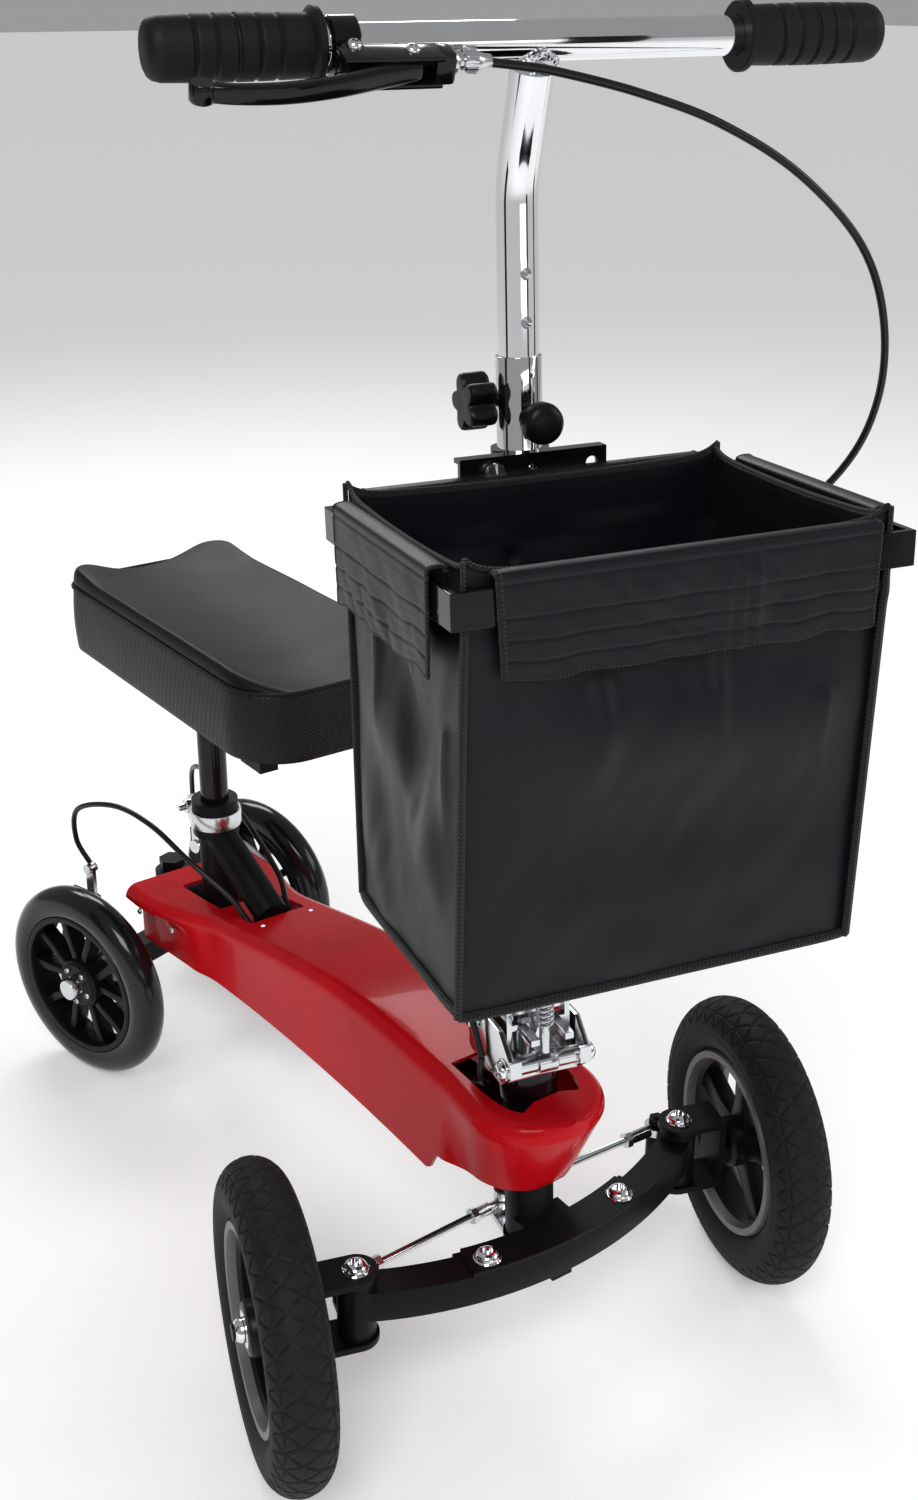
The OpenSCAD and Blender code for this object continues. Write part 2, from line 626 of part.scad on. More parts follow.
module brake_arm_right() { brake_arm(1); }
module rear_core() {
    difference() {
        union() {
            xpipe(70, 64, -14, 14);
            for (k = [0:4], d = [-13, 13]) rotate([k * 72 + d, 0, 0]) block([-6, -4, 15], [8, 4, 65]);
            xcyl(20, -15, 15);
        }
        xcyl(axle_r + fit, -30, 30);
    }
}
module rear_rotor(s) {
    translate([-s * rotor_x, 0, 0]) difference() {
        union() { xcyl(66, -1, 1); if (s > 0) xcyl(17, 0, 12); else xcyl(17, -12, 0); }
        xcyl(axle_r + fit, -20, 20);
        for (k = [0:11]) rotate([k * 30, 0, 0]) translate([0, 0, 50]) xcyl(5, -5, 5);
        for (k = [0:5]) rotate([k * 60, 0, 0]) translate([0, 0, 31]) xcyl(8, -5, 5);
    }
}
module rear_trim(s) {
    difference() {
        union() {
            if (s > 0) xcyl(11, 15, 27); else xcyl(11, -27, -15);
            for (k = [0:4]) rotate([k * 72 + 36, 0, 0]) translate([0, 0, 16]) if (s > 0) xcyl(3, 15, 18); else xcyl(3, -18, -15);
        }
        xcyl(axle_r + fit, -24.5, 24.5);
    }
}
module rear_left_tyre() { color([0.13, 0.14, 0.16]) on_rear(-1) tyre(rear_r, rear_sec, 70, 17); }
module rear_right_tyre() { color([0.13, 0.14, 0.16]) on_rear(1) tyre(rear_r, rear_sec, 70, 17); }
module rear_left_core() { color([0.05, 0.05, 0.055]) on_rear(-1) rear_core(); }
module rear_right_core() { color([0.05, 0.05, 0.055]) on_rear(1) rear_core(); }
module rear_left_rotor() { color([0.6, 0.6, 0.62]) on_rear(-1) rear_rotor(-1); }
module rear_right_rotor() { color([0.6, 0.6, 0.62]) on_rear(1) rear_rotor(1); }
module rear_left_trim() { color([0.8, 0.8, 0.82]) on_rear(-1) rear_trim(-1); }
module rear_right_trim() { color([0.8, 0.8, 0.82]) on_rear(1) rear_trim(1); }

// ---- seat
pad_c = 427;
module seat_post() {
    color([0.03, 0.03, 0.035]) difference() {
        translate([0, post_y, 172]) cylinder(r = stem_r, h = pad_z - 172 - 4);
        translate([0, post_y, 170]) cylinder(r = stem_r - 2, h = 220);
    }
}
module seat_plate() {
    color([0.04, 0.04, 0.045]) {
        block([-pad_w / 2 + 14, pad_c - pad_l / 2 + 20, pad_z - 4], [pad_w / 2 - 14, pad_c + pad_l / 2 - 20, pad_z]);
        for (s = [-1, 1]) block([s * (pad_w / 2 - 22) - 8, pad_c - pad_l / 2 + 20, pad_z - 9],
            [s * (pad_w / 2 - 22) + 8, pad_c - pad_l / 2 + 52, pad_z - 4]);
    }
}
module pad_slab(z0, z1, g) {
    translate([0, pad_c, z0]) linear_extrude(z1 - z0) hull() {
        for (sx = [-1, 1]) {
            translate([sx * (pad_w / 2 - 48), -pad_l / 2 + 48]) circle(r = 48 - g);
            translate([sx * (pad_w / 2 - 26), pad_l / 2 - 26]) circle(r = 26 - g);
        }
    }
}
module knee_pad() {
    color([0.07, 0.07, 0.075]) difference() {
        union() { pad_slab(pad_z, pad_z + 62, 0); pad_slab(pad_z + 62, pad_z + 78, 6); }
        translate([0, 0, pad_z + 78 + 128]) ycyl(140, 0, 900);
    }
}

// ---- brake cable, held all the way from the lever to both brakes
module cable(p, n, ref) { color([0.03, 0.03, 0.03]) sweep(path(p, n), cable_r, ref); }
module cable_upper() {
    on_col() cable([[-44, -51.8, 924.9], [-20, -53, 922], [3, -56, 918], [50, -60, 906], [102, -60, 888],
        [156, -60, 858], [204, -56, 815], [228, -50, 767], [234, -40, 715], [222, -22, 668], [180, 4, 618],
        [120, 22, 570], [60, 24, 524], [18, 20, 484], [1, 17.6, 452], [0, 17.4, 440]], 6, [0, 1, 0]);
}
module cable_column() {
    on_col() cable([[0, 17.4, 439.4], [0, 17.4, 400], [-6, 18, 370], [-26, 19, 340], [-38, 14, 312], [-36, 6, 284],
        [-34, 2, 270]], 6, [0, 1, 0]);
}
module cable_lower() {
    cable([[-33.2, 24.1, 268], [-34, 23.6, 255], [-28.3, 27.8, 243], [-16, 40.6, 230], [-12, 60, 220], [-12, 84, 214],
        [-12, 110, 212]], 6, [1, 0, 0]);
}
module cable_left() {
    cable([[-20, 384, 196], [-22, 398, 206], [-27, 416, 219], [-46, 452, 244], [-59, 498, 264], [-74, 542, 270],
        [-90, 590, 252], [-88, 606, 214], [-79.3, 599.2, 188.4]], 6, [1, 0, 0]);
}
module cable_right() {
    cable([[20, 384, 196], [22.5, 400, 206], [30, 424, 218], [34, 470, 236], [34, 520, 256], [34, 566, 266],
        [42, 612, 252], [52, 638, 216], [55.8, 643.1, 188]], 6, [1, 0, 0]);
}

frame();
cover();
cover_screws();
beam();
beam_bolts();
head_cups();
kingpin_bolts();
seat_clamp();
clamp_bolt();
steerer();
fold_base();
column_tube();
fold_top();
basket_bracket();
basket_bolt();
basket_frame();
basket_bag();
star_knob();
pull_pin();
eye_bolt();
eye_spring();
eye_nut();
stem();
handlebar();
grips();
brake_perch();
barrel_adjuster();
brake_lever();
knuckle_left();
knuckle_right();
tie_rod_left();
tie_rod_right();
front_left_tyre();
front_left_rim();
front_left_trim();
front_right_tyre();
front_right_rim();
front_right_trim();
rear_truck();
caliper_left();
caliper_right();
rear_left_tyre();
rear_left_core();
rear_left_rotor();
rear_left_trim();
rear_right_tyre();
rear_right_core();
rear_right_rotor();
rear_right_trim();
brake_arm_left();
brake_arm_right();
seat_post();
seat_plate();
knee_pad();
cable_upper();
cable_column();
cable_lower();
cable_left();
cable_right();
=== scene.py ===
import json
import math
from math import cos, exp, pi, radians, sin, sqrt
import bpy
import bmesh
from mathutils import Matrix, Vector, noise


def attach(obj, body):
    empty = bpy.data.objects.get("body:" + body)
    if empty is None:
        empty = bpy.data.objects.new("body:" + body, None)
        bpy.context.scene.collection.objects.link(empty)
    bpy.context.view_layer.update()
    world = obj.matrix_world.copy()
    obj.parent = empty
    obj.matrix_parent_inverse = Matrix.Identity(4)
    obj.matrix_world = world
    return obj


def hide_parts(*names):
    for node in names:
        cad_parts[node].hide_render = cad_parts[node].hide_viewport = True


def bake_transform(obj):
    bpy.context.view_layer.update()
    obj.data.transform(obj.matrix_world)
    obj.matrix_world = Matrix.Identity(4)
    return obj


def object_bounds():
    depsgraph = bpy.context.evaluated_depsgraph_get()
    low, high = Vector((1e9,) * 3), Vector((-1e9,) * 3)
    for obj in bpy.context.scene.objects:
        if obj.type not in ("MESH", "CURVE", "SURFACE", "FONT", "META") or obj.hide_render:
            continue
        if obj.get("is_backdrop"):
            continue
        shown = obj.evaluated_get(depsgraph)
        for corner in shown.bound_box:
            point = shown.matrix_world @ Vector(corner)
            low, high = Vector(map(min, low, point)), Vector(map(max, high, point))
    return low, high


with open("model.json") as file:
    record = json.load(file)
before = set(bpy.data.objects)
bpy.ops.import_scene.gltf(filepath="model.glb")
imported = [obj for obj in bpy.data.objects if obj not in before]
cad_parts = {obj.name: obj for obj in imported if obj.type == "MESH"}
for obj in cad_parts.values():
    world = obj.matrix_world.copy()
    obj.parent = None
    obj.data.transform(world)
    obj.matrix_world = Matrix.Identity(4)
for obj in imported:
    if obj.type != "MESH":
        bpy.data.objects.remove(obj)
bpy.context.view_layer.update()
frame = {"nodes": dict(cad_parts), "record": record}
nodes = frame["nodes"]
mm = 0.001

# places on the scooter, as in the part's own frames (millimetres in, metres out)
place = {"rake": 3, "turn": -13.5, "wheelTurn": -16.875, "tailTurn": 17.9955, "kingX": 150, "kingY": 10,
         "wheelbase": 585, "frontOut": 60, "frontR": 115, "rearOut": 118, "rearR": 95,
         "barY": -30, "barZ": 935}


def shift(x, y, z):
    return Matrix.Translation((x, y, z))


def turned(degrees, axis):
    return Matrix.Rotation(radians(degrees), 4, axis)


rowSpace = Matrix.Scale(mm, 4)
columnSpace = rowSpace @ turned(-place["rake"], "X") @ turned(place["turn"], "Z")
gripSpace = columnSpace @ shift(0, place["barY"], place["barZ"])
perchSpace = gripSpace @ turned(25, "X")
tailSpace = rowSpace @ shift(0, place["wheelbase"], 0) @ turned(place["tailTurn"], "Z")


def mirrored(side):
    return Matrix.Scale(side, 4, (1, 0, 0))


def frontSpace(side):
    king = rowSpace @ shift(side * place["kingX"], place["kingY"], 0) @ turned(place["wheelTurn"], "Z")
    return king @ shift(side * place["frontOut"], 0, place["frontR"]) @ mirrored(side)


def rearSpace(side):
    return tailSpace @ shift(side * place["rearOut"], 0, place["rearR"]) @ mirrored(side)


# shader maths as expressions
class Value:
    def __init__(self, finish, socket):
        self.finish = finish
        self.socket = socket

    def calc(self, operation, *others):
        return self.finish.node("ShaderNodeMath", {"operation": operation}, [self, *others])

    def __add__(self, other):
        return self.calc("ADD", other)

    def __sub__(self, other):
        return self.calc("SUBTRACT", other)

    def __rsub__(self, other):
        return self.finish.node("ShaderNodeMath", {"operation": "SUBTRACT"}, [other, self])

    def __mul__(self, other):
        return self.calc("MULTIPLY", other)

    __radd__ = __add__
    __rmul__ = __mul__


class Finish:
    sockets = {"metal": "Metallic", "coat": "Coat Weight", "coatRough": "Coat Roughness",
               "sheen": "Sheen Weight", "shine": "Specular IOR Level"}

    def __init__(self, name, colour, rough, **fixed):
        self.material = bpy.data.materials.new(name)
        self.material.use_nodes = True
        self.tree = self.material.node_tree
        self.shader = next(n for n in self.tree.nodes if n.type == "BSDF_PRINCIPLED")
        self.set("Base Color", colour)
        self.set("Roughness", rough)
        for short, value in fixed.items():
            self.set(self.sockets[short], value)
        self.material.diffuse_color = (*colour, 1)

    def put(self, socket, value):
        if isinstance(value, Value):
            self.tree.links.new(value.socket, socket)
        elif hasattr(value, "__len__"):
            socket.default_value = (*value, 1)[:len(socket.default_value)]
        else:
            socket.default_value = value

    def set(self, name, value):
        self.put(self.shader.inputs[name], value)

    def node(self, kind, settings=None, inputs=(), output=0):
        made = self.tree.nodes.new(kind)
        for key, value in (settings or {}).items():
            setattr(made, key, value)
        for key, value in (inputs.items() if isinstance(inputs, dict) else enumerate(inputs)):
            self.put(made.inputs[key], value)
        return Value(self, made.outputs[output])

    def where(self, kind="Object"):
        return self.node("ShaderNodeTexCoord", output=kind)

    def flatMap(self):
        at = self.where("UV")
        return [self.node("ShaderNodeSeparateXYZ", {}, [at], k) for k in "XY"]

    def grain(self, scale, detail=3, rough=0.55):
        return self.node("ShaderNodeTexNoise", {}, {"Vector": self.where(), "Scale": scale,
                                                    "Detail": detail, "Roughness": rough})

    def cells(self, scale):
        return self.node("ShaderNodeTexVoronoi", {"feature": "DISTANCE_TO_EDGE"},
                         {"Vector": self.where(), "Scale": scale})

    def blend(self, factor, first, second):
        return self.node("ShaderNodeMix", {"data_type": "RGBA"}, {0: factor, 6: first, 7: second}, 2)

    def span(self, value, low, high):
        return value * (high - low) + low

    def relief(self, height, depth, strength):
        bump = self.node("ShaderNodeBump", {}, {"Height": height, "Distance": depth, "Strength": strength})
        self.set("Normal", bump)
        return self


def tinted(colour, factor, lift=0):
    return [c * factor + lift for c in colour]


def plating(name, colour, low, high, scale=60):
    # polished or plated metal: faint cloudiness and fine wiping marks
    made = Finish(name, colour, low, metal=1.0)
    cloud = made.grain(scale, 4)
    made.set("Roughness", made.span(cloud, low, high))
    made.set("Base Color", made.blend(made.grain(18, 3), tinted(colour, 0.93), colour))
    return made.relief(made.grain(900, 2), 0.00001, 0.25)


def painted(name, colour, rough, bump, coat=0.0, coatRough=0.08, speck=1400, shine=0.5):
    # powder coat or gloss paint: fine orange peel, slight dust and handling
    made = Finish(name, colour, rough, coat=coat, coatRough=coatRough, shine=shine)
    dust = made.grain(14, 4)
    made.set("Roughness", made.span(dust, rough * 0.8, rough * 1.25))
    made.set("Base Color", made.blend(dust, tinted(colour, 0.8), tinted(colour, 1.25, 0.002)))
    return made.relief(made.grain(speck, 2), bump, 0.6)


def rubber(name, colour, rough, bump, speck=1100, dusty=0.010):
    made = Finish(name, colour, rough, shine=0.28)
    dust = made.grain(22, 5, 0.65)
    made.set("Base Color", made.blend(dust, colour, tinted(colour, 1, dusty)))
    made.set("Roughness", made.span(dust, rough - 0.08, rough + 0.10))
    return made.relief(made.grain(speck, 3), bump, 0.7)


def weaving(name, colour, rough, pitch, depth, sheen, shine):
    # plain weave from two crossed waves on the cloth's own flat map, in metres
    made = Finish(name, colour, rough, sheen=sheen, shine=shine)
    u, v = made.flatMap()
    turns = 2 * pi / pitch
    warp = (u * turns).calc("SINE")
    weft = (v * turns).calc("SINE")
    cloth = warp * weft * 0.5 + 0.5
    shade = made.grain(9, 4)
    made.set("Base Color", made.blend(cloth * 0.5 + shade * 0.5, tinted(colour, 0.55), tinted(colour, 1.5)))
    made.set("Roughness", made.span(shade * 0.6 + cloth * 0.4, rough - 0.08, rough + 0.10))
    return made.relief(cloth, depth, 0.5)


def carbonCloth(name, colour, rough, pitch):
    # twill-look woven side cloth: diagonal ribs that alternate in shine
    made = Finish(name, colour, rough, shine=0.26)
    u, v = made.flatMap()
    rib = ((u * 0.7 + v) * (2 * pi / pitch)).calc("SINE") * 0.5 + 0.5
    cross = ((u - v * 0.3) * (2 * pi / (pitch * 2.3))).calc("SINE") * 0.5 + 0.5
    thread = rib * 0.75 + cross * 0.25
    made.set("Base Color", made.blend(thread, tinted(colour, 0.45), tinted(colour, 2.2)))
    made.set("Roughness", made.span(thread, rough + 0.12, rough - 0.10))
    return made.relief(thread, 0.0004, 0.8)


def vinylSkin(name, colour, rough):
    made = Finish(name, colour, rough, shine=0.22)
    pores = made.cells(620).calc("SMOOTH_MIN", 0.35, 0.1)
    soft = made.grain(11, 4)
    made.set("Base Color", made.blend(soft, tinted(colour, 0.8), tinted(colour, 1.3)))
    made.set("Roughness", made.span(soft, rough - 0.06, rough + 0.08))
    return made.relief(pores + made.grain(1500, 2) * 0.3, 0.00012, 0.45)


def webbing(name, colour, rough, pitch):
    # knitted edge binding: small slanted stitches along the strip
    made = Finish(name, colour, rough, shine=0.3, sheen=0.15)
    u, v = made.flatMap()
    turns = 2 * pi / pitch
    stitch = ((v + u * 0.8) * turns).calc("SINE") * (u * (turns * 0.6)).calc("SINE")
    made.set("Base Color", made.blend(stitch * 0.5 + 0.5, tinted(colour, 0.4), tinted(colour, 2.6)))
    made.set("Roughness", made.span(made.grain(80), rough - 0.1, rough + 0.1))
    return made.relief(stitch, 0.0006, 0.9)


# the first twelve carry the names of the part's own material slots
finishes = {
    "satin_black": painted("satinBlack", (0.007, 0.007, 0.008), 0.42, 0.00006, shine=0.20),
    "gloss_red": painted("glossRed", (0.56, 0.004, 0.012), 0.24, 0.00002, coat=0.16, coatRough=0.04,
                         speck=500, shine=0.12),
    "bright_zinc": plating("brightZinc", (0.72, 0.73, 0.75), 0.14, 0.30),
    "chrome": plating("chrome", (0.86, 0.87, 0.89), 0.03, 0.10, 30),
    "grip_rubber": rubber("gripRubber", (0.009, 0.009, 0.010), 0.52, 0.00008, dusty=0.004),
    "tyre_rubber": rubber("tyreRubber", (0.012, 0.012, 0.013), 0.60, 0.00010),
    "smoked_urethane": painted("smokedUrethane", (0.010, 0.011, 0.013), 0.16, 0.00001, coat=0.35,
                               speck=300, shine=0.35),
    "black_plastic": painted("blackPlastic", (0.006, 0.006, 0.007), 0.34, 0.00006, shine=0.28),
    "gloss_black": painted("glossBlack", (0.005, 0.005, 0.006), 0.12, 0.00002, coat=0.25, speck=600,
                           shine=0.30),
    "bag_fabric": weaving("bagFabric", (0.0055, 0.0065, 0.0100), 0.31, 0.0011, 0.00018, 0.02, 0.36),
    "seat_vinyl": vinylSkin("seatVinyl", (0.010, 0.010, 0.012), 0.42),
    "cable_sheath": painted("cableSheath", (0.008, 0.008, 0.008), 0.30, 0.00002, speck=900),
    "bagBinding": webbing("bagBinding", (0.010, 0.010, 0.011), 0.62, 0.0024),
    "sideCloth": carbonCloth("sideCloth", (0.010, 0.010, 0.012), 0.36, 0.0030),
    "brass": plating("brass", (0.72, 0.52, 0.16), 0.14, 0.28),
    "greyLip": painted("greyLip", (0.16, 0.16, 0.165), 0.38, 0.00004),
    "darkMetal": plating("darkMetal", (0.10, 0.10, 0.105), 0.22, 0.42),
    "thread": rubber("thread", (0.030, 0.030, 0.033), 0.65, 0.00010),
    "bracketPlate": plating("bracketPlate", (0.74, 0.75, 0.77), 0.14, 0.26, 45),
    "rotorSteel": plating("rotorSteel", (0.40, 0.40, 0.41), 0.24, 0.40, 200),
}
print("finishes ready:", len(finishes))


def around(steps):
    return [2 * pi * k / steps for k in range(steps)]


def ringAt(x, radius, steps):
    return [(x, radius * cos(a), radius * sin(a)) for a in around(steps)]


def smoothed(mesh, sharp):
    mesh.polygons.foreach_set("use_smooth", [True] * len(mesh.polygons))
    mesh.set_sharp_from_angle(angle=radians(sharp))


def dressed(mesh, look):
    mesh.materials.clear()
    mesh.materials.append(finishes[look].material)
    mesh.polygons.foreach_set("material_index", [0] * len(mesh.polygons))


def softened(piece, width, angle):
    edges = piece.modifiers.new("edges", "BEVEL")
    edges.width, edges.segments = width * mm, 2
    edges.limit_method, edges.angle_limit = "ANGLE", radians(angle)


# mesh building
class Shape:
    def __init__(self):
        self.points, self.faces, self.marks, self.maps = [], [], [], []

    def add(self, points, faces, space=rowSpace, mark=0, maps=None):
        start = len(self.points)
        self.points += [space @ Vector(p) for p in points]
        for k, face in enumerate(faces):
            self.faces.append([start + i for i in face])
            self.marks.append(mark)
            self.maps.append(maps[k] if maps else [(points[i][0] * mm, points[i][2] * mm) for i in face])
        return self

    # rows of points into a skin; the flat map follows the distances along the cloth
    def skin(self, rows, ring=False, space=rowSpace, mark=0, caps=False):
        count, wide = len(rows), len(rows[0])
        flat = [p for row in rows for p in row]
        middle = rows[count // 2]
        along = [0]
        for k in range(wide):
            along.append(along[-1] + (Vector(middle[(k + 1) % wide]) - Vector(middle[k])).length)
        down = [0]
        for i in range(1, count):
            apart = [(Vector(rows[i][k]) - Vector(rows[i - 1][k])).length for k in (0, wide // 2)]
            down.append(down[-1] + max(apart))
        faces, maps = [], []
        for i in range(count - 1):
            for k in range(wide if ring else wide - 1):
                n = (k + 1) % wide
                faces.append([i * wide + k, i * wide + n, (i + 1) * wide + n, (i + 1) * wide + k])
                maps.append([(along[k] * mm, down[i] * mm), (along[k + 1] * mm, down[i] * mm),
                             (along[k + 1] * mm, down[i + 1] * mm), (along[k] * mm, down[i + 1] * mm)])
        if caps:
            for i in (0, count - 1):
                faces.append([i * wide + k for k in range(wide)])
                maps.append([(flat[i * wide + k][0] * mm, flat[i * wide + k][1] * mm) for k in range(wide)])
        return self.add(flat, faces, space, mark, maps)

    # (distance along X, radius) pairs turned round the X axis; a closed profile makes a ring
    def lathe(self, profile, space=rowSpace, steps=64, mark=0, caps=True, closed=False):
        rows = [ringAt(x, r, steps) for x, r in profile]
        if closed:
            rows.append(rows[0])
            caps = False
        return self.skin(rows, True, space, mark, caps)

    def tube(self, path, radius, sides=12, space=rowSpace, mark=0, flat=1.0):
        path = [Vector(p) for p in path]
        last = len(path) - 1
        along = [(path[min(k + 1, last)] - path[max(k - 1, 0)]).normalized() for k in range(len(path))]
        side = along[0].orthogonal().normalized()
        rows = []
        for k, point in enumerate(path):
            side = (side - along[k] * side.dot(along[k])).normalized()
            other = along[k].cross(side)
            r = radius(k / last) if callable(radius) else radius
            rows.append([tuple(point + side * (r * cos(a)) + other * (r * flat * sin(a)))
                         for a in around(sides)])
        return self.skin(rows, True, space, mark, True)

    def solid(self, mesh, bevel, space, mark, steps=2):
        if bevel:
            edges = [e for e in mesh.edges if len(e.link_faces) == 2 and e.calc_face_angle() > 0.5]
            bmesh.ops.bevel(mesh, geom=edges, offset=bevel, segments=steps, profile=0.6, affect="EDGES",
                            clamp_overlap=True)
        mesh.verts.index_update()
        points = [tuple(v.co) for v in mesh.verts]
        faces = [[v.index for v in f.verts] for f in mesh.faces]
        mesh.free()
        return self.add(points, faces, space, mark)

    def block(self, low, high, bevel=0.8, space=rowSpace, mark=0):
        mesh = bmesh.new()
        bmesh.ops.create_cube(mesh, size=1)
        for v in mesh.verts:
            v.co = [low[k] if v.co[k] < 0 else high[k] for k in range(3)]
        return self.solid(mesh, bevel, space, mark)

    # an outline in Y and Z, thickened along X
    def plate(self, outline, x0, x1, bevel=0.8, space=rowSpace, mark=0, steps=2):
        mesh = bmesh.new()
        rings = [[mesh.verts.new((x, *p)) for p in outline] for x in (x0, x1)]
        mesh.faces.new(rings[0])
        mesh.faces.new(list(reversed(rings[1])))
        for k in range(len(outline)):
            n = (k + 1) % len(outline)
            mesh.faces.new([rings[0][n], rings[0][k], rings[1][k], rings[1][n]])
        bmesh.ops.recalc_face_normals(mesh, faces=mesh.faces)
        return self.solid(mesh, bevel, space, mark, steps)

    # looks name the finishes in the order of their marks; the slot's own finish is the usual one
    def build(self, name, body, slot, stands=(), sharp=35, looks=()):
        mesh = bpy.data.meshes.new(name)
        mesh.from_pydata([tuple(p) for p in self.points], [], self.faces)
        layer = mesh.uv_layers.new(name="cloth")
        layer.data.foreach_set("uv", [value for face in self.maps for pair in face for value in pair])
        for look in looks or (slot,):
            mesh.materials.append(finishes[look].material)
        mesh.polygons.foreach_set("material_index", self.marks)
        work = bmesh.new()
        work.from_mesh(mesh)
        bmesh.ops.recalc_face_normals(work, faces=work.faces)
        work.to_mesh(mesh)
        work.free()
        smoothed(mesh, sharp)
        piece = bpy.data.objects.new(name, mesh)
        bpy.context.scene.collection.objects.link(piece)
        if body:
            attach(piece, body)
        if stands:
            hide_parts(*stands)
        return piece


def spline(points, steps):
    # smooth curve through the points
    found = []
    at = lambda k: Vector(points[max(0, min(len(points) - 1, k))])
    for i in range(len(points) - 1):
        for j in range(steps):
            t = j / steps
            found.append(0.5 * (2 * at(i) + (at(i + 1) - at(i - 1)) * t
                         + (2 * at(i - 1) - 5 * at(i) + 4 * at(i + 1) - at(i + 2)) * t * t
                         + (3 * at(i) - at(i - 1) - 3 * at(i + 1) + at(i + 2)) * t * t * t))
    return found + [at(len(points) - 1)]


def ease(low, high, value):
    t = max(0, min(1, (value - low) / (high - low)))
    return t * t * (3 - 2 * t)


# a button-head bolt with a hex socket, standing on X = 0 and pointing along +X
def button(shape, r, h, space, mark=0, socket=0.45):
    hole = r * socket
    dome = [(0, 0.01), (0, r), (h * 0.25, r), (h * 0.45, r * 0.96), (h * 0.7, r * 0.84), (h * 0.9, r * 0.66),
            (h, hole + 0.25), (h, hole), (h * 0.35, hole * 0.92), (h * 0.33, 0.01)]
    shape.lathe(dome, space, 24, mark, caps=False)


upward = turned(-90, "Y")    # takes +X to +Z
forward = turned(-90, "Z")   # takes +X to -Y


# stage, lights and camera
studio = {"gamma": 0.86, "world": 0.38, "floor": 30, "floorGlow": 0.28, "aim": (0, 0.2, 0.4)}
scene = bpy.context.scene
scene.view_settings.view_transform = "Standard"
scene.view_settings.gamma = studio["gamma"]
world = bpy.data.worlds.new("studio")
scene.world = world
world.use_nodes = True
background = world.node_tree.nodes["Background"]
background.inputs["Color"].default_value = (1, 1, 1, 1)
background.inputs["Strength"].default_value = studio["world"]


def panel(name, corners, finish):
    mesh = bpy.data.meshes.new(name)
    mesh.from_pydata(corners, [], [(0, 1, 2, 3)])
    mesh.materials.append(finish.material)
    made = bpy.data.objects.new(name, mesh)
    scene.collection.objects.link(made)
    return made


floorFinish = Finish("floorPaper", (0.90, 0.90, 0.90), 0.7)
floorFinish.set("Roughness", floorFinish.span(floorFinish.grain(3), 0.6, 0.8))
floorFinish.set("Emission Color", (1, 1, 1))
floorFinish.set("Emission Strength", studio["floorGlow"])
f = studio["floor"]
panel("floor", [(-f, -f, 0), (f, -f, 0), (f, f, 0), (-f, f, 0)], floorFinish)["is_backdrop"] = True

# dark cards that only show in reflections, so that plated tubes read as metal
cards = {"left": ((-2.2, 0.6, 1.0), (0.5, 2.6), 90), "right": ((2.0, -1.0, 0.9), (0.6, 2.4), -60),
         "front": ((0.9, -2.8, 0.5), (0.5, 2.2), -10)}
cardFinish = Finish("card", (0.01, 0.01, 0.01), 0.9)
for cardName, (spot, size, heading) in cards.items():
    w, h = size[0] / 2, size[1] / 2
    card = panel("card" + cardName, [(-w, 0, -h), (w, 0, -h), (w, 0, h), (-w, 0, h)], cardFinish)
    card.location = spot
    card.rotation_euler = (0, 0, radians(heading))
    card.visible_camera = card.visible_shadow = card.visible_diffuse = False
    card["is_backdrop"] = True

lamps = {"key": ((-1.6, -1.6, 2.6), (1.4, 1.4), 44), "fill": ((2.4, -1.4, 1.8), (1.6, 1.2), 20),
         "back": ((0.8, 2.4, 2.2), (1.8, 0.8), 30), "low": ((-0.2, -2.6, 0.8), (1.6, 0.5), 3)}
for lampName, (spot, size, power) in lamps.items():
    light = bpy.data.lights.new(lampName, "AREA")
    light.shape, light.size, light.size_y, light.energy = "RECTANGLE", *size, power
    lamp = bpy.data.objects.new(lampName, light)
    lamp.location = spot
    lamp.rotation_euler = (Vector(spot) - Vector(studio["aim"])).to_track_quat("Z", "Y").to_euler()
    scene.collection.objects.link(lamp)

eye = {"spot": (-0.644, -0.805, 0.969), "heading": -35.43, "down": 24.17, "roll": 0.31, "lens": 41.54}
a, e, r = (radians(eye[k]) for k in ("heading", "down", "roll"))
back = Vector((sin(a) * cos(e), -cos(a) * cos(e), sin(e)))
right = (-back).cross(Vector((0, 0, 1))).normalized()
up = right.cross(-back)
right, up = right * cos(r) + up * sin(r), up * cos(r) - right * sin(r)
cameraData = bpy.data.cameras.new("camera")
cameraData.lens = eye["lens"]
camera = bpy.data.objects.new("camera", cameraData)
camera.matrix_world = Matrix((right, up, back)).transposed().to_4x4()
camera.location = eye["spot"]
scene.collection.objects.link(camera)
scene.camera = camera
print("camera and lights ready")

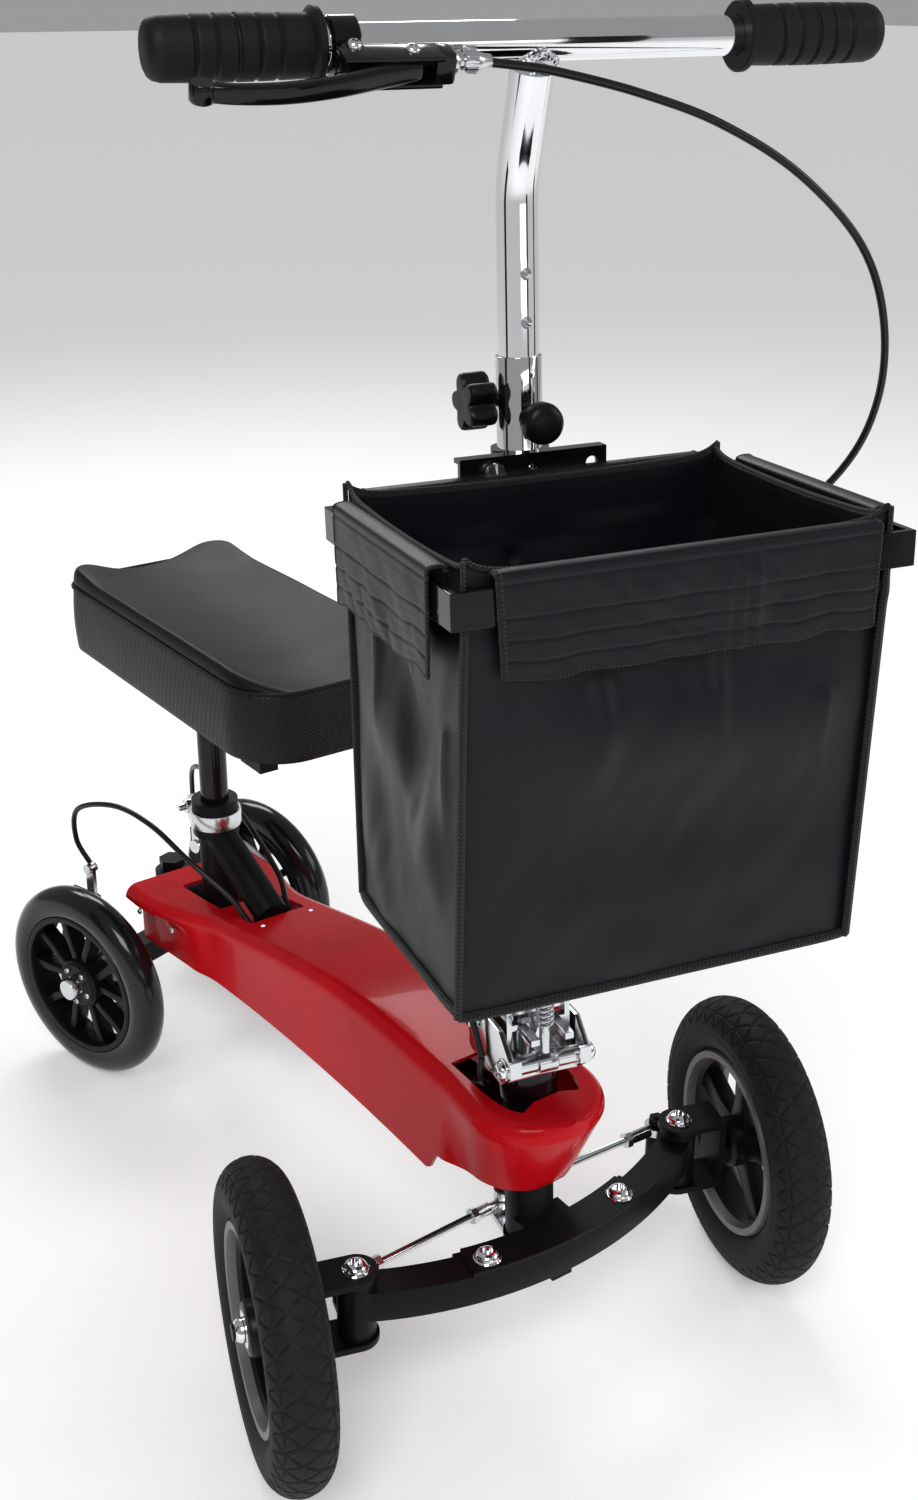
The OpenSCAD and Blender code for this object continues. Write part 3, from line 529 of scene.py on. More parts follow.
# brake cable: five lengths, each across one joint, along the CAD routes
cable = {"radius": 2.5, "steps": 8, "sides": 14}
routes = {
    "upper": (columnSpace, ("stem", "column"), [
        (-44, -51.8, 924.9), (-20, -53, 922), (3, -56, 918), (50, -60, 906), (102, -60, 888), (156, -60, 858),
        (204, -56, 815), (228, -50, 767), (234, -40, 715), (222, -22, 668), (180, 4, 618), (120, 22, 570),
        (60, 24, 524), (18, 20, 484), (1, 17.6, 452), (0, 17.4, 440)]),
    "column": (columnSpace, ("column", "tiller"), [
        (0, 17.4, 439.4), (0, 17.4, 400), (-6, 18, 370), (-26, 19, 340), (-38, 14, 312), (-36, 6, 284),
        (-34, 2, 270)]),
    "lower": (rowSpace, ("tiller", "chassis"), [
        (-33.2, 24.1, 268), (-34, 23.6, 255), (-28.3, 27.8, 243), (-16, 40.6, 230), (-12, 60, 220),
        (-12, 84, 214), (-12, 110, 212)]),
    "left": (rowSpace, ("chassis", "truck"), [
        (-20, 384, 196), (-22, 398, 206), (-27, 416, 219), (-46, 452, 244), (-59, 498, 264), (-74, 542, 270),
        (-90, 590, 252), (-88, 606, 214), (-79.3, 599.2, 188.4)]),
    "right": (rowSpace, ("chassis", "truck"), [
        (20, 384, 196), (22.5, 400, 206), (30, 424, 218), (34, 470, 236), (34, 520, 256), (34, 566, 266),
        (42, 612, 252), (52, 638, 216), (55.8, 643.1, 188)]),
}
for name, (space, bodies, route) in routes.items():
    path = spline(route, cable["steps"])
    piece = Shape().tube(path, cable["radius"], cable["sides"], space).build(
        "sheath_" + name, None, "cable_sheath", ["cable_" + name], 60)
    line = [space @ p for p in path]
    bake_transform(piece)
    sum((line[k + 1] - line[k]).length for k in range(len(line) - 1))
print("cables ready")

# front wheels
tyre = {"round": 23, "centre": 92, "open": 140, "rows": 76, "around": 600, "units": 40, "groove": 1.15,
        "bands": (-31, -19, -6.5, 6.5, 19, 31), "line": (0.62, 0.66), "lineDepth": 0.5, "bead": (15.2, 73.2)}


def treadDepth(turnShare, across):
    # triangular blocks: a zigzag in every band and a line between bands
    bands = tyre["bands"]
    if not bands[0] <= across <= bands[-1]:
        return 0.0
    deep = max(0, 1 - abs(min((across - b for b in bands), key=abs)) / 0.75)
    k = max(i for i in range(len(bands) - 1) if across >= bands[i])
    share = (across - bands[k]) / (bands[k + 1] - bands[k])
    swing = abs(2 * ((turnShare * tyre["units"] + 0.5 * k) % 1) - 1)
    deep = max(deep, 1 - abs(share - swing) / 0.13)
    return tyre["groove"] * max(0, min(1, deep * 1.6))


def frontTyre(side, name):
    rows = []
    for i in range(tyre["rows"] + 1):
        angle = radians(-tyre["open"] + 2 * tyre["open"] * i / tyre["rows"])
        across = tyre["round"] * angle
        row = []
        for k in range(tyre["around"]):
            share = k / tyre["around"]
            out = tyre["round"] - treadDepth(share, across)
            if tyre["line"][0] < abs(angle) / radians(tyre["open"]) < tyre["line"][1]:
                out -= tyre["lineDepth"]
            radius = tyre["centre"] + out * cos(angle)
            t = 2 * pi * share
            row.append((out * sin(angle), radius * cos(t), radius * sin(t)))
        rows.append(row)
    half, inner = tyre["bead"]
    rows = [ringAt(-half, inner, tyre["around"])] + rows + [ringAt(half, inner, tyre["around"])]
    rows.append(rows[0])
    Shape().skin(rows, True, frontSpace(side)).build(
        "tyre_" + name, "wheel_" + name, "tyre_rubber", [name + "_tyre"], 40)

def frontRim(side, name):
    space = frontSpace(side)
    rim = Shape()
    rim.lathe([(-19, 68), (-19, 73.4), (-16, 74.6), (-13, 73), (13, 73), (16, 74.6), (19, 73.4), (19.3, 70.5),
               (18.6, 68), (14, 66.4), (-14, 66.4)], space, 96, 1, closed=True)
    rim.lathe([(-12, 66.6), (12, 66.6), (9, 63.5), (-9, 63.5)], space, 96, 0, closed=True)
    for k in range(5):
        turn = space @ turned(72 * k, "X")
        rim.plate([(-13, 15), (13, 15), (8, 34), (9.5, 65), (-9.5, 65), (-8, 34)], -8, 5, 2.2, turn, 0)
        rim.plate([(-3, 16), (3, 16), (3, 64), (-3, 64)], 4, 9, 1.2, turn, 0)
    rim.lathe([(-20, 6.3), (-20, 17), (-17, 20), (16, 20), (19, 18.5), (20, 16.5), (20, 12), (17.5, 11.4),
               (17.5, 6.3)], space, 56, 0, closed=True)
    rim.lathe([(17.6, 6.4), (18.6, 6.4), (18.6, 11.2), (17.6, 11.2)], space, 48, 2, closed=True)
    rim.build("rim_" + name, "wheel_" + name, "black_plastic", [name + "_rim"],
              looks=("black_plastic", "greyLip", "darkMetal"))
    trim = Shape()
    button(trim, 9, 8, space @ shift(20, 0, 0), 0, 0.38)
    trim.lathe([(19.2, 6.2), (19.2, 13), (20.2, 13), (20.2, 6.2)], space, 40, 0, closed=True)
    valve = space @ turned(60, "X") @ shift(12, 0, 66) @ turned(14, "Y") @ turned(90, "Y")
    trim.lathe([(0, 0.1), (0, 3), (9, 3), (9, 2.6), (10, 2.6), (10, 3), (11, 2.6), (12, 3), (12, 0.1)],
               valve, 20, 1)
    trim.lathe([(12, 0.1), (12, 3.6), (13, 4), (21, 4), (22.4, 3.2), (23, 0.1)], valve, 20, 2)
    trim.build("trim_" + name, "wheel_" + name, "bright_zinc", [name + "_trim"],
               looks=("chrome", "brass", "black_plastic"))


for side, name in ((-1, "front_left"), (1, "front_right")):
    frontTyre(side, name)
    frontRim(side, name)
print("front wheels ready")

# rear wheels
rear = {"spokes": 5, "bolts": 5, "marks": 6}


def rearWheel(side, name):
    space = rearSpace(side)
    body = "wheel_" + name
    half = [(-13.5, 70.2), (-14.8, 73), (-15, 79), (-14.2, 85), (-11.5, 90), (-7, 93.6), (-3, 94.7)]
    outline = half + [(0, 95)] + [(-x, r) for x, r in reversed(half)]
    ring = Shape().lathe(outline, space, 128, 0, closed=True)
    for k in range(rear["marks"]):    # small moulding marks on the side wall
        turn = space @ turned(60 * k + 12, "X")
        ring.block((14.3, -2.4, 78), (15.3, 2.4, 79), 0.2, turn)
    ring.build("tyre_" + name, body, "smoked_urethane", [name + "_tyre"])
    core = Shape()
    core.lathe([(-14, 64), (-14, 69), (-12.5, 70.1), (12.5, 70.1), (14, 69), (14.6, 66.5), (14, 64),
                (11, 62.8), (-11, 62.8)], space, 112, 0, closed=True)
    for k in range(rear["spokes"]):
        for lean in (-1, 1):
            turn = space @ turned(72 * k, "X") @ Matrix.Scale(lean, 4, (0, 1, 0))
            core.plate([(0.5, 18), (8, 18), (11, 30), (17.5, 44), (22, 60), (14.5, 63), (10, 46), (4.5, 33)],
                       -7, 9, 1.8, turn)
    core.lathe([(-15, 6.4), (-15, 18), (-12, 21), (9, 25), (12, 24), (13, 22), (14.8, 20.5), (15, 12),
                (15, 6.4)], space, 64, 0, closed=True)
    core.build("core_" + name, body, "black_plastic", [name + "_core"])
    trim = Shape()
    trim.lathe([(15, 6.3), (15, 11), (24, 10.8), (26.2, 9.6), (27, 7), (27.2, 0.1)], space, 48, 0)
    for k in range(rear["bolts"]):
        button(trim, 3, 2.8, space @ turned(72 * k + 36, "X") @ shift(15, 0, 16.5))
    trim.build("trim_" + name, body, "bright_zinc", [name + "_trim"])


for side, name in ((-1, "rear_left"), (1, "rear_right")):
    rearWheel(side, name)
print("rear wheels ready")

# the red cover: a smooth moulded shell, cut where the CAD is cut
hull = {"waist": 49, "tail": 69, "noseY": 8, "tailY": 544, "wall": 3, "round": 12, "footY": 22, "footZ": 170,
        "tuck": 12, "flare": 4, "stations": 110}
hull["noseR"] = hull["waist"] + hull["flare"]
hull["setBack"] = hull["footY"] - hull["noseY"]


def halfTop(y):
    if y < hull["noseY"]:
        return sqrt(max(0, hull["noseR"] ** 2 - (y - hull["noseY"]) ** 2))
    narrow = hull["noseR"] - hull["flare"] * ease(hull["noseY"], 60, y)
    return narrow + (hull["tail"] - hull["waist"]) * ease(400, 520, y)


def halfLow(y):
    r, c = hull["noseR"] - hull["tuck"], hull["footY"]
    if y < c:
        return sqrt(max(0, r * r - (y - c) ** 2))
    return min(halfTop(y), r + hull["tuck"] * ease(c, 66, y))


def topZ(y):
    return 184 + 60 * (1 - ease(150, 560, y)) - 4 * (1 - ease(-20, 150, y))


def lowZ(y):
    if y < 60:
        return hull["footZ"]
    return 124 + 30 * (1 - ((y - 190) / 350) ** 2) + max(0, 68 - y) * 2


def sideHeight(y):
    return topZ(y) - hull["round"] - hull["footZ"]


def sideWidth(y, z, inset):
    # half width of the cover's side wall at a height; the nose narrows and moves back towards its foot
    t = max(-0.2, min(1, (z - hull["footZ"]) / sideHeight(y)))
    if y >= hull["footY"]:
        return halfLow(y) + (halfTop(y) - halfLow(y)) * max(0, t) - inset
    r = hull["noseR"] - hull["tuck"] + hull["tuck"] * t - inset
    c = hull["footY"] - hull["setBack"] * t
    reach = sqrt(max(0, r * r - (y - c) ** 2)) if y < c else r
    return reach - hull["flare"] * ease(hull["noseY"], 60, y) * max(0, t)


def coverRing(y, inset, corner, drop):
    w = max(1.5, halfTop(y) - inset)
    t, low = topZ(y) - inset, lowZ(y) - drop
    start = hull["footY"] - hull["noseR"] + hull["tuck"] + inset
    if y < start:
        low = hull["footZ"] + sideHeight(y) * (start - y) / (hull["tuck"] + hull["setBack"])
    r = min(corner, w * 0.8, max(0.5, (t - low) * 0.8))
    shoulder = [(w - r + r * cos(radians(q)), t - r + r * sin(radians(q)))
                for q in range(0, 91, 10)]
    low = min(low, t - r - 1)
    half = []
    for k in range(8):
        z = low + (t - r - low) * k / 8
        half.append((max(0.4, min(sideWidth(y, z, inset), w)), z))
    half += shoulder
    half += [(shoulder[-1][0] * (1 - k / 4), t + 0.8 * sin(pi / 2 * k / 4)) for k in range(1, 4)]
    return [(-x, y, z) for x, z in half] + [(0, y, t + 0.8)] + [(x, y, z) for x, z in reversed(half)]


def solidPiece(name, shape):
    return shape.build(name, None, "gloss_red")


def coverSolid(name, steps, inset, corner, drop):
    return solidPiece(name, Shape().skin([coverRing(y, inset, corner, drop) for y in steps], True, caps=True))


def carve(piece, cutter):
    change = piece.modifiers.new("cut", "BOOLEAN")
    change.operation, change.solver, change.object = "DIFFERENCE", "EXACT", cutter
    bpy.context.view_layer.update()
    made = bpy.data.meshes.new_from_object(piece.evaluated_get(bpy.context.evaluated_depsgraph_get()))
    piece.modifiers.clear()
    piece.data = made
    bpy.data.objects.remove(cutter)


noseSteps = [hull["noseY"] - hull["noseR"] * cos(radians(q)) for q in range(6, 90, 4)]
count = hull["stations"]
bodySteps = [hull["noseY"] + (hull["tailY"] - hull["noseY"]) * k / count for k in range(count + 1)]
stations = noseSteps + bodySteps
cover = coverSolid("cover_shell", stations, 0, hull["round"], 0)
innerFront = hull["noseY"] - hull["noseR"] + hull["wall"] + 1
innerSteps = [y for y in stations if innerFront < y < hull["tailY"] - hull["wall"]]
carve(cover, coverSolid("inside", innerSteps, hull["wall"], 10, 6))
pocket = [(-33, 62), (-33.5, 40), (-34, 22), (-33.6, 10), (-32.4, 1), (-30.2, -7), (-27, -12.5), (-24, -15),
          (-12, -9.2)]
mouthOutline = pocket + [(-x, y) for x, y in reversed(pocket)]
wellOutline = [(-27, 373), (27, 373), (27, 509), (-27, 509)]
# the outlines lie in X and Y, so the plates are laid down
flatSpace = rowSpace @ Matrix(((0, 1, 0, 0), (0, 0, 1, 0), (1, 0, 0, 0), (0, 0, 0, 1)))
carve(cover, solidPiece("mouth", Shape().plate(mouthOutline, 203, 268, 0, flatSpace)))
carve(cover, solidPiece("seatWell", Shape().plate(wellOutline, 174, 240, 4, flatSpace, steps=4)))
carve(cover, solidPiece("tailSlot", Shape().block((-25, 524, 116), (25, 549, 171), 0)))
dressed(cover.data, "gloss_red")
smoothed(cover.data, 35)
softened(cover, 0.9, 50)
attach(cover, "chassis")
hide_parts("cover")
print("cover ready")

# basket bag: hung shell, folded flaps, seams and bindings, in the column's frame
bag = {"left": (-136, -125), "right": (106, 121), "front": (-224.5, -219.5), "rear": (-58, -31),
       "low": 447, "high": 691, "rows": 90, "long": 84, "short": 60, "bulge": 5.0, "cloth": 1.3,
       "folds": ((0.58, 0.020, 0.80), (0.30, 0.03, 0.72), (0.86, 0.025, 0.62)), "mostOut": 11.5}


def ripple(x, y, z, size, seed):
    return noise.noise(Vector((x / size + seed, y / size, z / size)))


def cornerPull(s, count, reach):
    return exp(-s * count / reach) + exp(-(1 - s) * count / reach)


def bagRing(v):
    z = bag["low"] + (bag["high"] - bag["low"]) * v
    x0, x1, y0, y1 = (bag[k][0] + (bag[k][1] - bag[k][0]) * min(1, v * 1.15)
                      for k in ("left", "right", "front", "rear"))
    corners = [(x0, y0), (x1, y0), (x1, y1), (x0, y1)]
    ring = []
    for side in range(4):
        (ax, ay), (bx, by) = corners[side], corners[(side + 1) % 4]
        count = bag["long"] if side % 2 == 0 else bag["short"]
        normal = ((0, -1), (1, 0), (0, 1), (-1, 0))[side]
        for k in range(count):
            s = k / count
            bow = sin(pi * s)
            hold = bow ** 0.6 * sin(pi * min(1, max(0, v))) ** 0.5
            strong = 1.5 if side % 2 == 0 else 1.7
            wave = strong * (ripple(s * 200, side * 90, z, 70, 3) * 7.0
                             + ripple(s * 200 + z * 0.25, side * 40, z * 0.4, 34, 9) * 2.6
                             + ripple(s * 200 - z * 0.4, side * 70, z * 0.3, 15, 21) * 0.7)
            fold = 0
            for spot, width, start in bag["folds"]:
                path = spot + 0.05 * (start - v)
                crease = 4.5 * exp(-((s - path) / width) ** 2)
                fold += crease * ease(start - 0.30, start, v) * (1 - ease(start, start + 0.03, v))
            foot = 3.4 * sin(s * 19 + side) * exp(-((v - 0.05) / 0.07) ** 2) * hold
            swell = (bag["bulge"] if side != 2 else -3) * bow * sin(pi * min(1, v * 1.08)) * 0.7
            out = (swell + (wave + fold) * hold + foot) * (1 - 0.75 * ease(0.84, 0.90, v))
            out -= 2.0 * ease(0.83, 0.88, v)
            out = min(out - 2.6 * cornerPull(s, count, 2.2) * (1 - ease(0.8, 0.9, v)), bag["mostOut"])
            x, y = ax + (bx - ax) * s + normal[0] * out, ay + (by - ay) * s + normal[1] * out
            sag = 4.5 * bow * ease(0.93, 1.0, v) - 1.6 * sin(s * 9 + side) * exp(-v / 0.06) * hold
            peak = 7.0 * cornerPull(s, count, 2.5) * ease(0.965, 1.0, v)
            ring.append((x, y, z - sag * 0.6 + peak))
    return ring


def thicken(piece, depth, offset=-1):
    wall = piece.modifiers.new("cloth", "SOLIDIFY")
    wall.thickness, wall.offset, wall.use_even_offset = depth * mm, offset, False


body = Shape()
rings = [bagRing(k / bag["rows"]) for k in range(bag["rows"] + 1)]
body.skin(rings, True, columnSpace)
base = rings[0]
middle = (sum(p[0] for p in base) / len(base), sum(p[1] for p in base) / len(base))
inward = []
for k in range(11):
    share = 1 - k / 10
    inward.append([(middle[0] + (x - middle[0]) * share, middle[1] + (y - middle[1]) * share,
                    bag["low"] - 3.5 * (1 - share ** 4)
                    + ripple(x * share, y * share, 0, 40, 5) * 1.5 * (1 - share)) for x, y, z in base])
body.skin(inward, True, columnSpace)
shell = body.build("bag_body", "column", "bag_fabric", ["basket_bag"], 70)
thicken(shell, bag["cloth"])

# flaps fold over the bars; each is drawn along one side, with x along the bar and y towards the basket
flap = {"long": 222, "short": 150, "inside": 16, "over": 13, "drop": 49, "rise": 5.6, "depth": 10.0,
        "seams": (4, 22, 34, 45), "margin": 4, "stitch": 2.1, "pitch": 3.4, "edgeStart": 14}
flap["bend"] = flap["inside"] + flap["over"]
bars = {"front": (flap["long"], columnSpace @ shift(0, -224, 684)),
        "rear": (flap["long"], columnSpace @ shift(0, -22, 684) @ turned(180, "Z")),
        "left": (flap["short"], columnSpace @ shift(-135.5, -123, 684) @ turned(-90, "Z")),
        "right": (flap["short"], columnSpace @ shift(135.5, -123, 684) @ turned(90, "Z"))}


def flapPoint(x, t, length, seed, lift=0.0):
    # t runs in millimetres from the inside edge, up, over the bar and down the outside
    rise, inside, over, bend = (flap[k] for k in ("rise", "inside", "over", "bend"))
    if t < inside:
        y, z = flap["depth"] - 1.5, -12 + t * (12 + rise) / inside
    elif t < bend:
        angle = pi * (t - inside) / over
        y = (flap["depth"] - 1.5) * (1 + cos(angle)) / 2 - 1.6 * (1 - cos(angle)) / 2
        z = rise + 1.6 * sin(angle)
    else:
        y, z = -1.6, rise - (t - inside - over)
    down = max(0, rise - z) if t > bend else 0
    edge = sin(pi * (x / length + 0.5)) ** 0.5 if abs(x) < length / 2 else 0
    wave = ripple(x, seed * 50, z, 40, seed) * 3.0 + ripple(x + z, seed * 30, z * 0.4, 17, seed + 4) * 1.2
    wave = wave * edge * min(1, down / 14)
    pinch = sum(2.2 * exp(-((x - length * 0.12 - k * 9) / 3.2) ** 2) for k in (-1, 0, 1))
    pinch = pinch * min(1, down / 18) if seed == 0 else 0
    seam = sum(0.7 * exp(-((down - s) / 0.8) ** 2) for s in flap["seams"]) if down else 0
    narrow = 1 - 0.02 * min(1, down / flap["drop"])
    hem = ripple(x, seed * 20, 0, 24, seed + 8) * 3.2 * (down / flap["drop"]) ** 2
    return (x * narrow, y - (abs(wave) + pinch * 0.6 + 0.5) * (1 if down else 0.3) + seam - lift, z + hem)


stitches = Shape()
edging = Shape()
for seed, (name, (length, space)) in enumerate(bars.items()):
    total = flap["bend"] + flap["drop"] + flap["rise"]
    rows = []
    for j in range(101):
        t = total * j / 100
        rows.append([flapPoint(-length / 2 + length * k / 120, t, length, seed) for k in range(121)])
    piece = Shape().skin(rows, False, space).build("flap_" + name, "column", "bag_fabric", sharp=70)
    thicken(piece, 1.0, 1)
    for seam in flap["seams"]:
        t = flap["bend"] + seam + flap["rise"]
        x = -length / 2 + flap["margin"]
        while x < length / 2 - flap["margin"]:
            ends = [Vector(flapPoint(x + d, t, length, seed, 0.75)) for d in (0, flap["stitch"])]
            stitches.tube(ends, 0.34, 5, space)
            x += flap["pitch"]
    first = flap["edgeStart"]
    for end in (-1, 1):
        line = [flapPoint(end * (length / 2 - 0.5), first + (total - first) * k / 40, length, seed, 0.2)
                for k in range(41)]
        edging.tube(line, 1.9, 8, space, flat=0.6)
    line = [flapPoint(-length / 2 + length * k / 60, total, length, seed, 0.2) for k in range(61)]
    edging.tube(line, 1.2, 8, space, flat=0.8)
stitches.build("flap_stitches", "column", "bag_fabric", looks=("thread",))
edging.build("flap_edging", "column", "bag_fabric", looks=("bagBinding",))

# knitted binding up the four corners and round the bottom
binding = Shape()
starts = [0, bag["long"], bag["long"] + bag["short"], 2 * bag["long"] + bag["short"]]
for k, start in enumerate(starts):
    lean = ((-1, -1), (1, -1), (1, 1), (-1, 1))[k]
    line = [(x + lean[0] * 1.4, y + lean[1] * 1.4, z) for x, y, z in (ring[start] for ring in rings)]
    binding.tube(line, lambda t: 3.1 - 1.2 * ease(0.8, 1.0, t), 10, columnSpace, flat=0.75)
loop = [(x + (x - middle[0]) * 0.008, y + (y - middle[1]) * 0.012, z) for x, y, z in base]
binding.tube(loop + [loop[0]], 2.7, 8, columnSpace, flat=0.8)
binding.build("bag_binding", "column", "bag_fabric", looks=("bagBinding",))
rim = Shape()
top = [(x, y, z + 0.4) for x, y, z in rings[-1]]
rim.tube(top + [top[0]], 1.5, 8, columnSpace)
rim.build("bag_rim", "column", "bag_fabric", looks=("bagBinding",))
print("bag ready")

# knee pad: crowned vinyl top with a valley, piping and woven sides
pad = {"length": 350, "width": 160, "centre": 427, "base": 412, "seam": 471, "nose": 50, "heel": 28,
       "around": 220}


def padOutline(grow):
    # rounded rectangle, larger corners at the front
    found = []
    for cx, cy, r, start in ((1, -1, pad["nose"], -90), (1, 1, pad["heel"], 0), (-1, 1, pad["heel"], 90),
                             (-1, -1, pad["nose"], 180)):
        x, y = cx * (pad["width"] / 2 - r), cy * (pad["length"] / 2 - r)
        found += [(x + (r + grow) * cos(q), y + (r + grow) * sin(q))
                  for q in (radians(start + turn) for turn in range(0, 91, 6))]
    total = [0]
    for k in range(len(found)):
        n = found[(k + 1) % len(found)]
        total.append(total[-1] + math.dist(found[k], n))
    ring, at = [], 0
    for k in range(pad["around"]):
        goal = total[-1] * k / pad["around"]
        while total[at + 1] < goal:
            at += 1
        share = (goal - total[at]) / (total[at + 1] - total[at])
        p, q = found[at], found[(at + 1) % len(found)]
        ring.append((p[0] + (q[0] - p[0]) * share, p[1] + (q[1] - p[1]) * share))
    return ring


def padTop(x, y):
    across, along = abs(x) / (pad["width"] / 2), y / (pad["length"] / 2)
    edge = 14 * across ** 1.8 - 3.5
    heel = 6.0 * ease(0.55, 0.95, along) * ease(0.2, 0.8, across)
    nose = -5.0 * ease(-0.6, -1.0, along)
    return 475.5 + edge + heel + nose + ripple(x, y, 0, 55, 4) * 0.5


def padRing(grow, z):
    return [(x, y + pad["centre"], z) for x, y in padOutline(grow)]


height = pad["seam"] - pad["base"] - 4
sides = [padRing(-16, pad["base"]), padRing(-4, pad["base"]), padRing(-1.2, pad["base"] + 1.6)]
for k in range(1, 14):
    share = k / 14
    sides.append(padRing(-1.0 + 1.6 * sin(pi * share), pad["base"] + 2 + height * share))
sides += [padRing(-0.8, pad["seam"] - 1.2), padRing(-2.4, pad["seam"])]
Shape().skin(sides, True).build("pad_sides", "seat", "seat_vinyl", ["knee_pad"], 60, ("sideCloth",))

outline = padOutline(0)
rows = [[(x * 0.975, y * 0.988 + pad["centre"], pad["seam"]) for x, y in outline]]
for k in range(1, 9):    # the rolled shoulder
    angle = pi / 2 * k / 8
    shrink = 0.985 - 0.075 * (1 - cos(angle))
    rise = sin(angle) ** 0.8
    rows.append([(x * shrink, y * (0.5 + 0.5 * shrink) + pad["centre"],
                  pad["seam"] + (padTop(x * shrink, y * shrink) - pad["seam"]) * rise) for x, y in outline])
for k in range(1, 26):
    left = 1 - k / 25
    rows.append([(x * (0.91 * left), y * (0.955 * left) + pad["centre"],
                  padTop(x * (0.91 * left), y * 0.955 * left)) for x, y in outline])
cushion = Shape().skin(rows, True).build("pad_top", "seat", "seat_vinyl", sharp=80)
piping = Shape()
ring = [(x * 0.993, y * 0.996 + pad["centre"], pad["seam"] + 0.4) for x, y in outline]
piping.tube(ring + [ring[0]], 1.5, 10)
piping.build("pad_piping", "seat", "seat_vinyl")
under = [[(x * s, y * s + pad["centre"], pad["base"] + 0.5) for x, y in outline] for s in (0.95, 0.5, 0.02)]
Shape().skin(under, True).build("pad_base", "seat", "black_plastic")
print("knee pad ready")

# bar, stem, grips and brake lever
grip = {"bar": 11.1, "radius": 16.3, "half": 222, "length": 95, "grooves": 5, "firstGroove": 24,
        "groovePitch": 11.5}
grips = Shape()
for side in (-1, 1):
    space = gripSpace @ mirrored(side)
    start, end = grip["half"] - grip["length"], grip["half"]
    profile = [(start, 11.3), (start, 18.6), (start + 1.2, 20), (start + 4.2, 20), (start + 5.6, 18.4),
               (start + 6.5, 16.4)]
    x = start + 8
    while x < end - 8:
        share = (x - start) / grip["length"]
        groove = 0
        for k in range(grip["grooves"]):
            centre = start + grip["firstGroove"] + k * grip["groovePitch"]
            groove = max(groove, 1 - abs(x - centre) / 1.5)
        swell = 0.9 * sin(pi * share)
        profile.append((x, grip["radius"] + swell - 1.5 * max(0, min(1, groove * 1.6))))
        x += 0.75
    profile += [(end - 7, 16.2), (end - 4, 15.4), (end - 2, 13.8), (end - 0.6, 11), (end, 7), (end, 0.1)]
    grips.lathe(profile, space, 72, 0, caps=False)
grips.build("grip_pair", "stem", "grip_rubber", ["grips"], 30)

stem = {"radius": 12.7, "low": 562, "straight": 845, "bend": 859, "holes": 3, "step": 28.3, "pin": 722,
        "bead": 13.2}
lean = Vector((0, place["barY"], place["barZ"] - stem["bend"])).normalized()
line = [(0, 0, stem["low"] + (stem["straight"] - stem["low"]) * k / 20) for k in range(21)]
corner = Vector((0, 0, stem["bend"]))
for k in range(1, 13):
    t = k / 12
    a, c = Vector((0, 0, stem["straight"])), corner + lean * 22
    line.append(tuple(a * (1 - t) ** 2 + corner * 2 * t * (1 - t) + c * t * t))
line += [tuple(corner + lean * d) for d in (34, 50, 60, 66)]
tubePiece = Shape().tube(line, stem["radius"], 72, columnSpace).build(
    "stem_tube", "stem", "chrome", ["stem"], 50)
drill = Shape()
for k in range(-stem["holes"], stem["holes"] + 1):
    spot = shift(0, 0, stem["pin"] + k * stem["step"])
    drill.lathe([(0, 3.6), (30, 3.6)], columnSpace @ spot @ forward @ shift(2, 0, 0), 28)
carve(tubePiece, drill.build("holes", None, "chrome", looks=("darkMetal",)))
smoothed(tubePiece.data, 40)
weld = Shape()
bead = []
for k in range(97):
    a = 2 * pi * k / 96
    x, y = stem["bead"] * cos(a), stem["bead"] * sin(a)
    drop = sqrt(max(0, (grip["bar"] + 0.6) ** 2 - y * y * 0.75)) if abs(y) < 13 else 2
    point = Vector((0, place["barY"], place["barZ"])) - lean * drop + Vector((x, 0, 0))
    bead.append(point + lean.cross(Vector((-1, 0, 0))) * y)
weld.tube(bead, lambda t: 1.8 + 0.35 * sin(t * 2 * pi * 34), 8, columnSpace)
weld.build("stem_weld", "stem", "chrome", looks=("bright_zinc",))

def rounded(value):
    return math.copysign(abs(value) ** 0.6, value)


lever = Shape()
blade = spline([(-84, -29, 0), (-104, -38, 0), (-132, -48, 0), (-160, -53.5, 0), (-186, -53, 0),
                (-203, -49, 0)], 10)
last = len(blade) - 1
rows = []
for k, p in enumerate(blade):
    share = k / last
    along = (blade[min(k + 1, last)] - blade[max(0, k - 1)]).normalized()
    out = Vector((-along.y, along.x, 0))
    wide = 4.6 - 1.2 * share + 3.5 * exp(-(share / 0.15) ** 2)
    tall = 6.2 - 1.4 * share
    rows.append([tuple(p + out * (wide * rounded(cos(a))) + Vector((0, 0, tall * rounded(sin(a)))))
                 for a in around(24)])
lever.skin(rows, True, perchSpace, 0, True)
tip = perchSpace @ shift(-203, -49, 0) @ upward
lever.lathe([(-5, 0.1), (-5, 6), (-4, 6.8), (4, 6.8), (5, 6), (5, 0.1)], tip, 32)
lever.lathe([(-5.4, 0.1), (-5.4, 7.2), (5.4, 7.2), (5.4, 0.1)], perchSpace @ shift(-84, -27, 0) @ upward, 36)
lever.build("lever_blade", "lever", "gloss_black", ["brake_lever"], 40)
perch = Shape()
perch.lathe([(-123, 11.2), (-123, 14.2), (-122, 15.2), (-108, 15.2), (-107, 14.2), (-107, 11.2)],
            perchSpace, 56, 0, closed=True)
perch.plate([(-36, -9), (-21, -9), (-12, -8.5), (-12, 8.5), (-21, 9), (-36, 9)],
            -121.5, -108.5, 2, perchSpace)
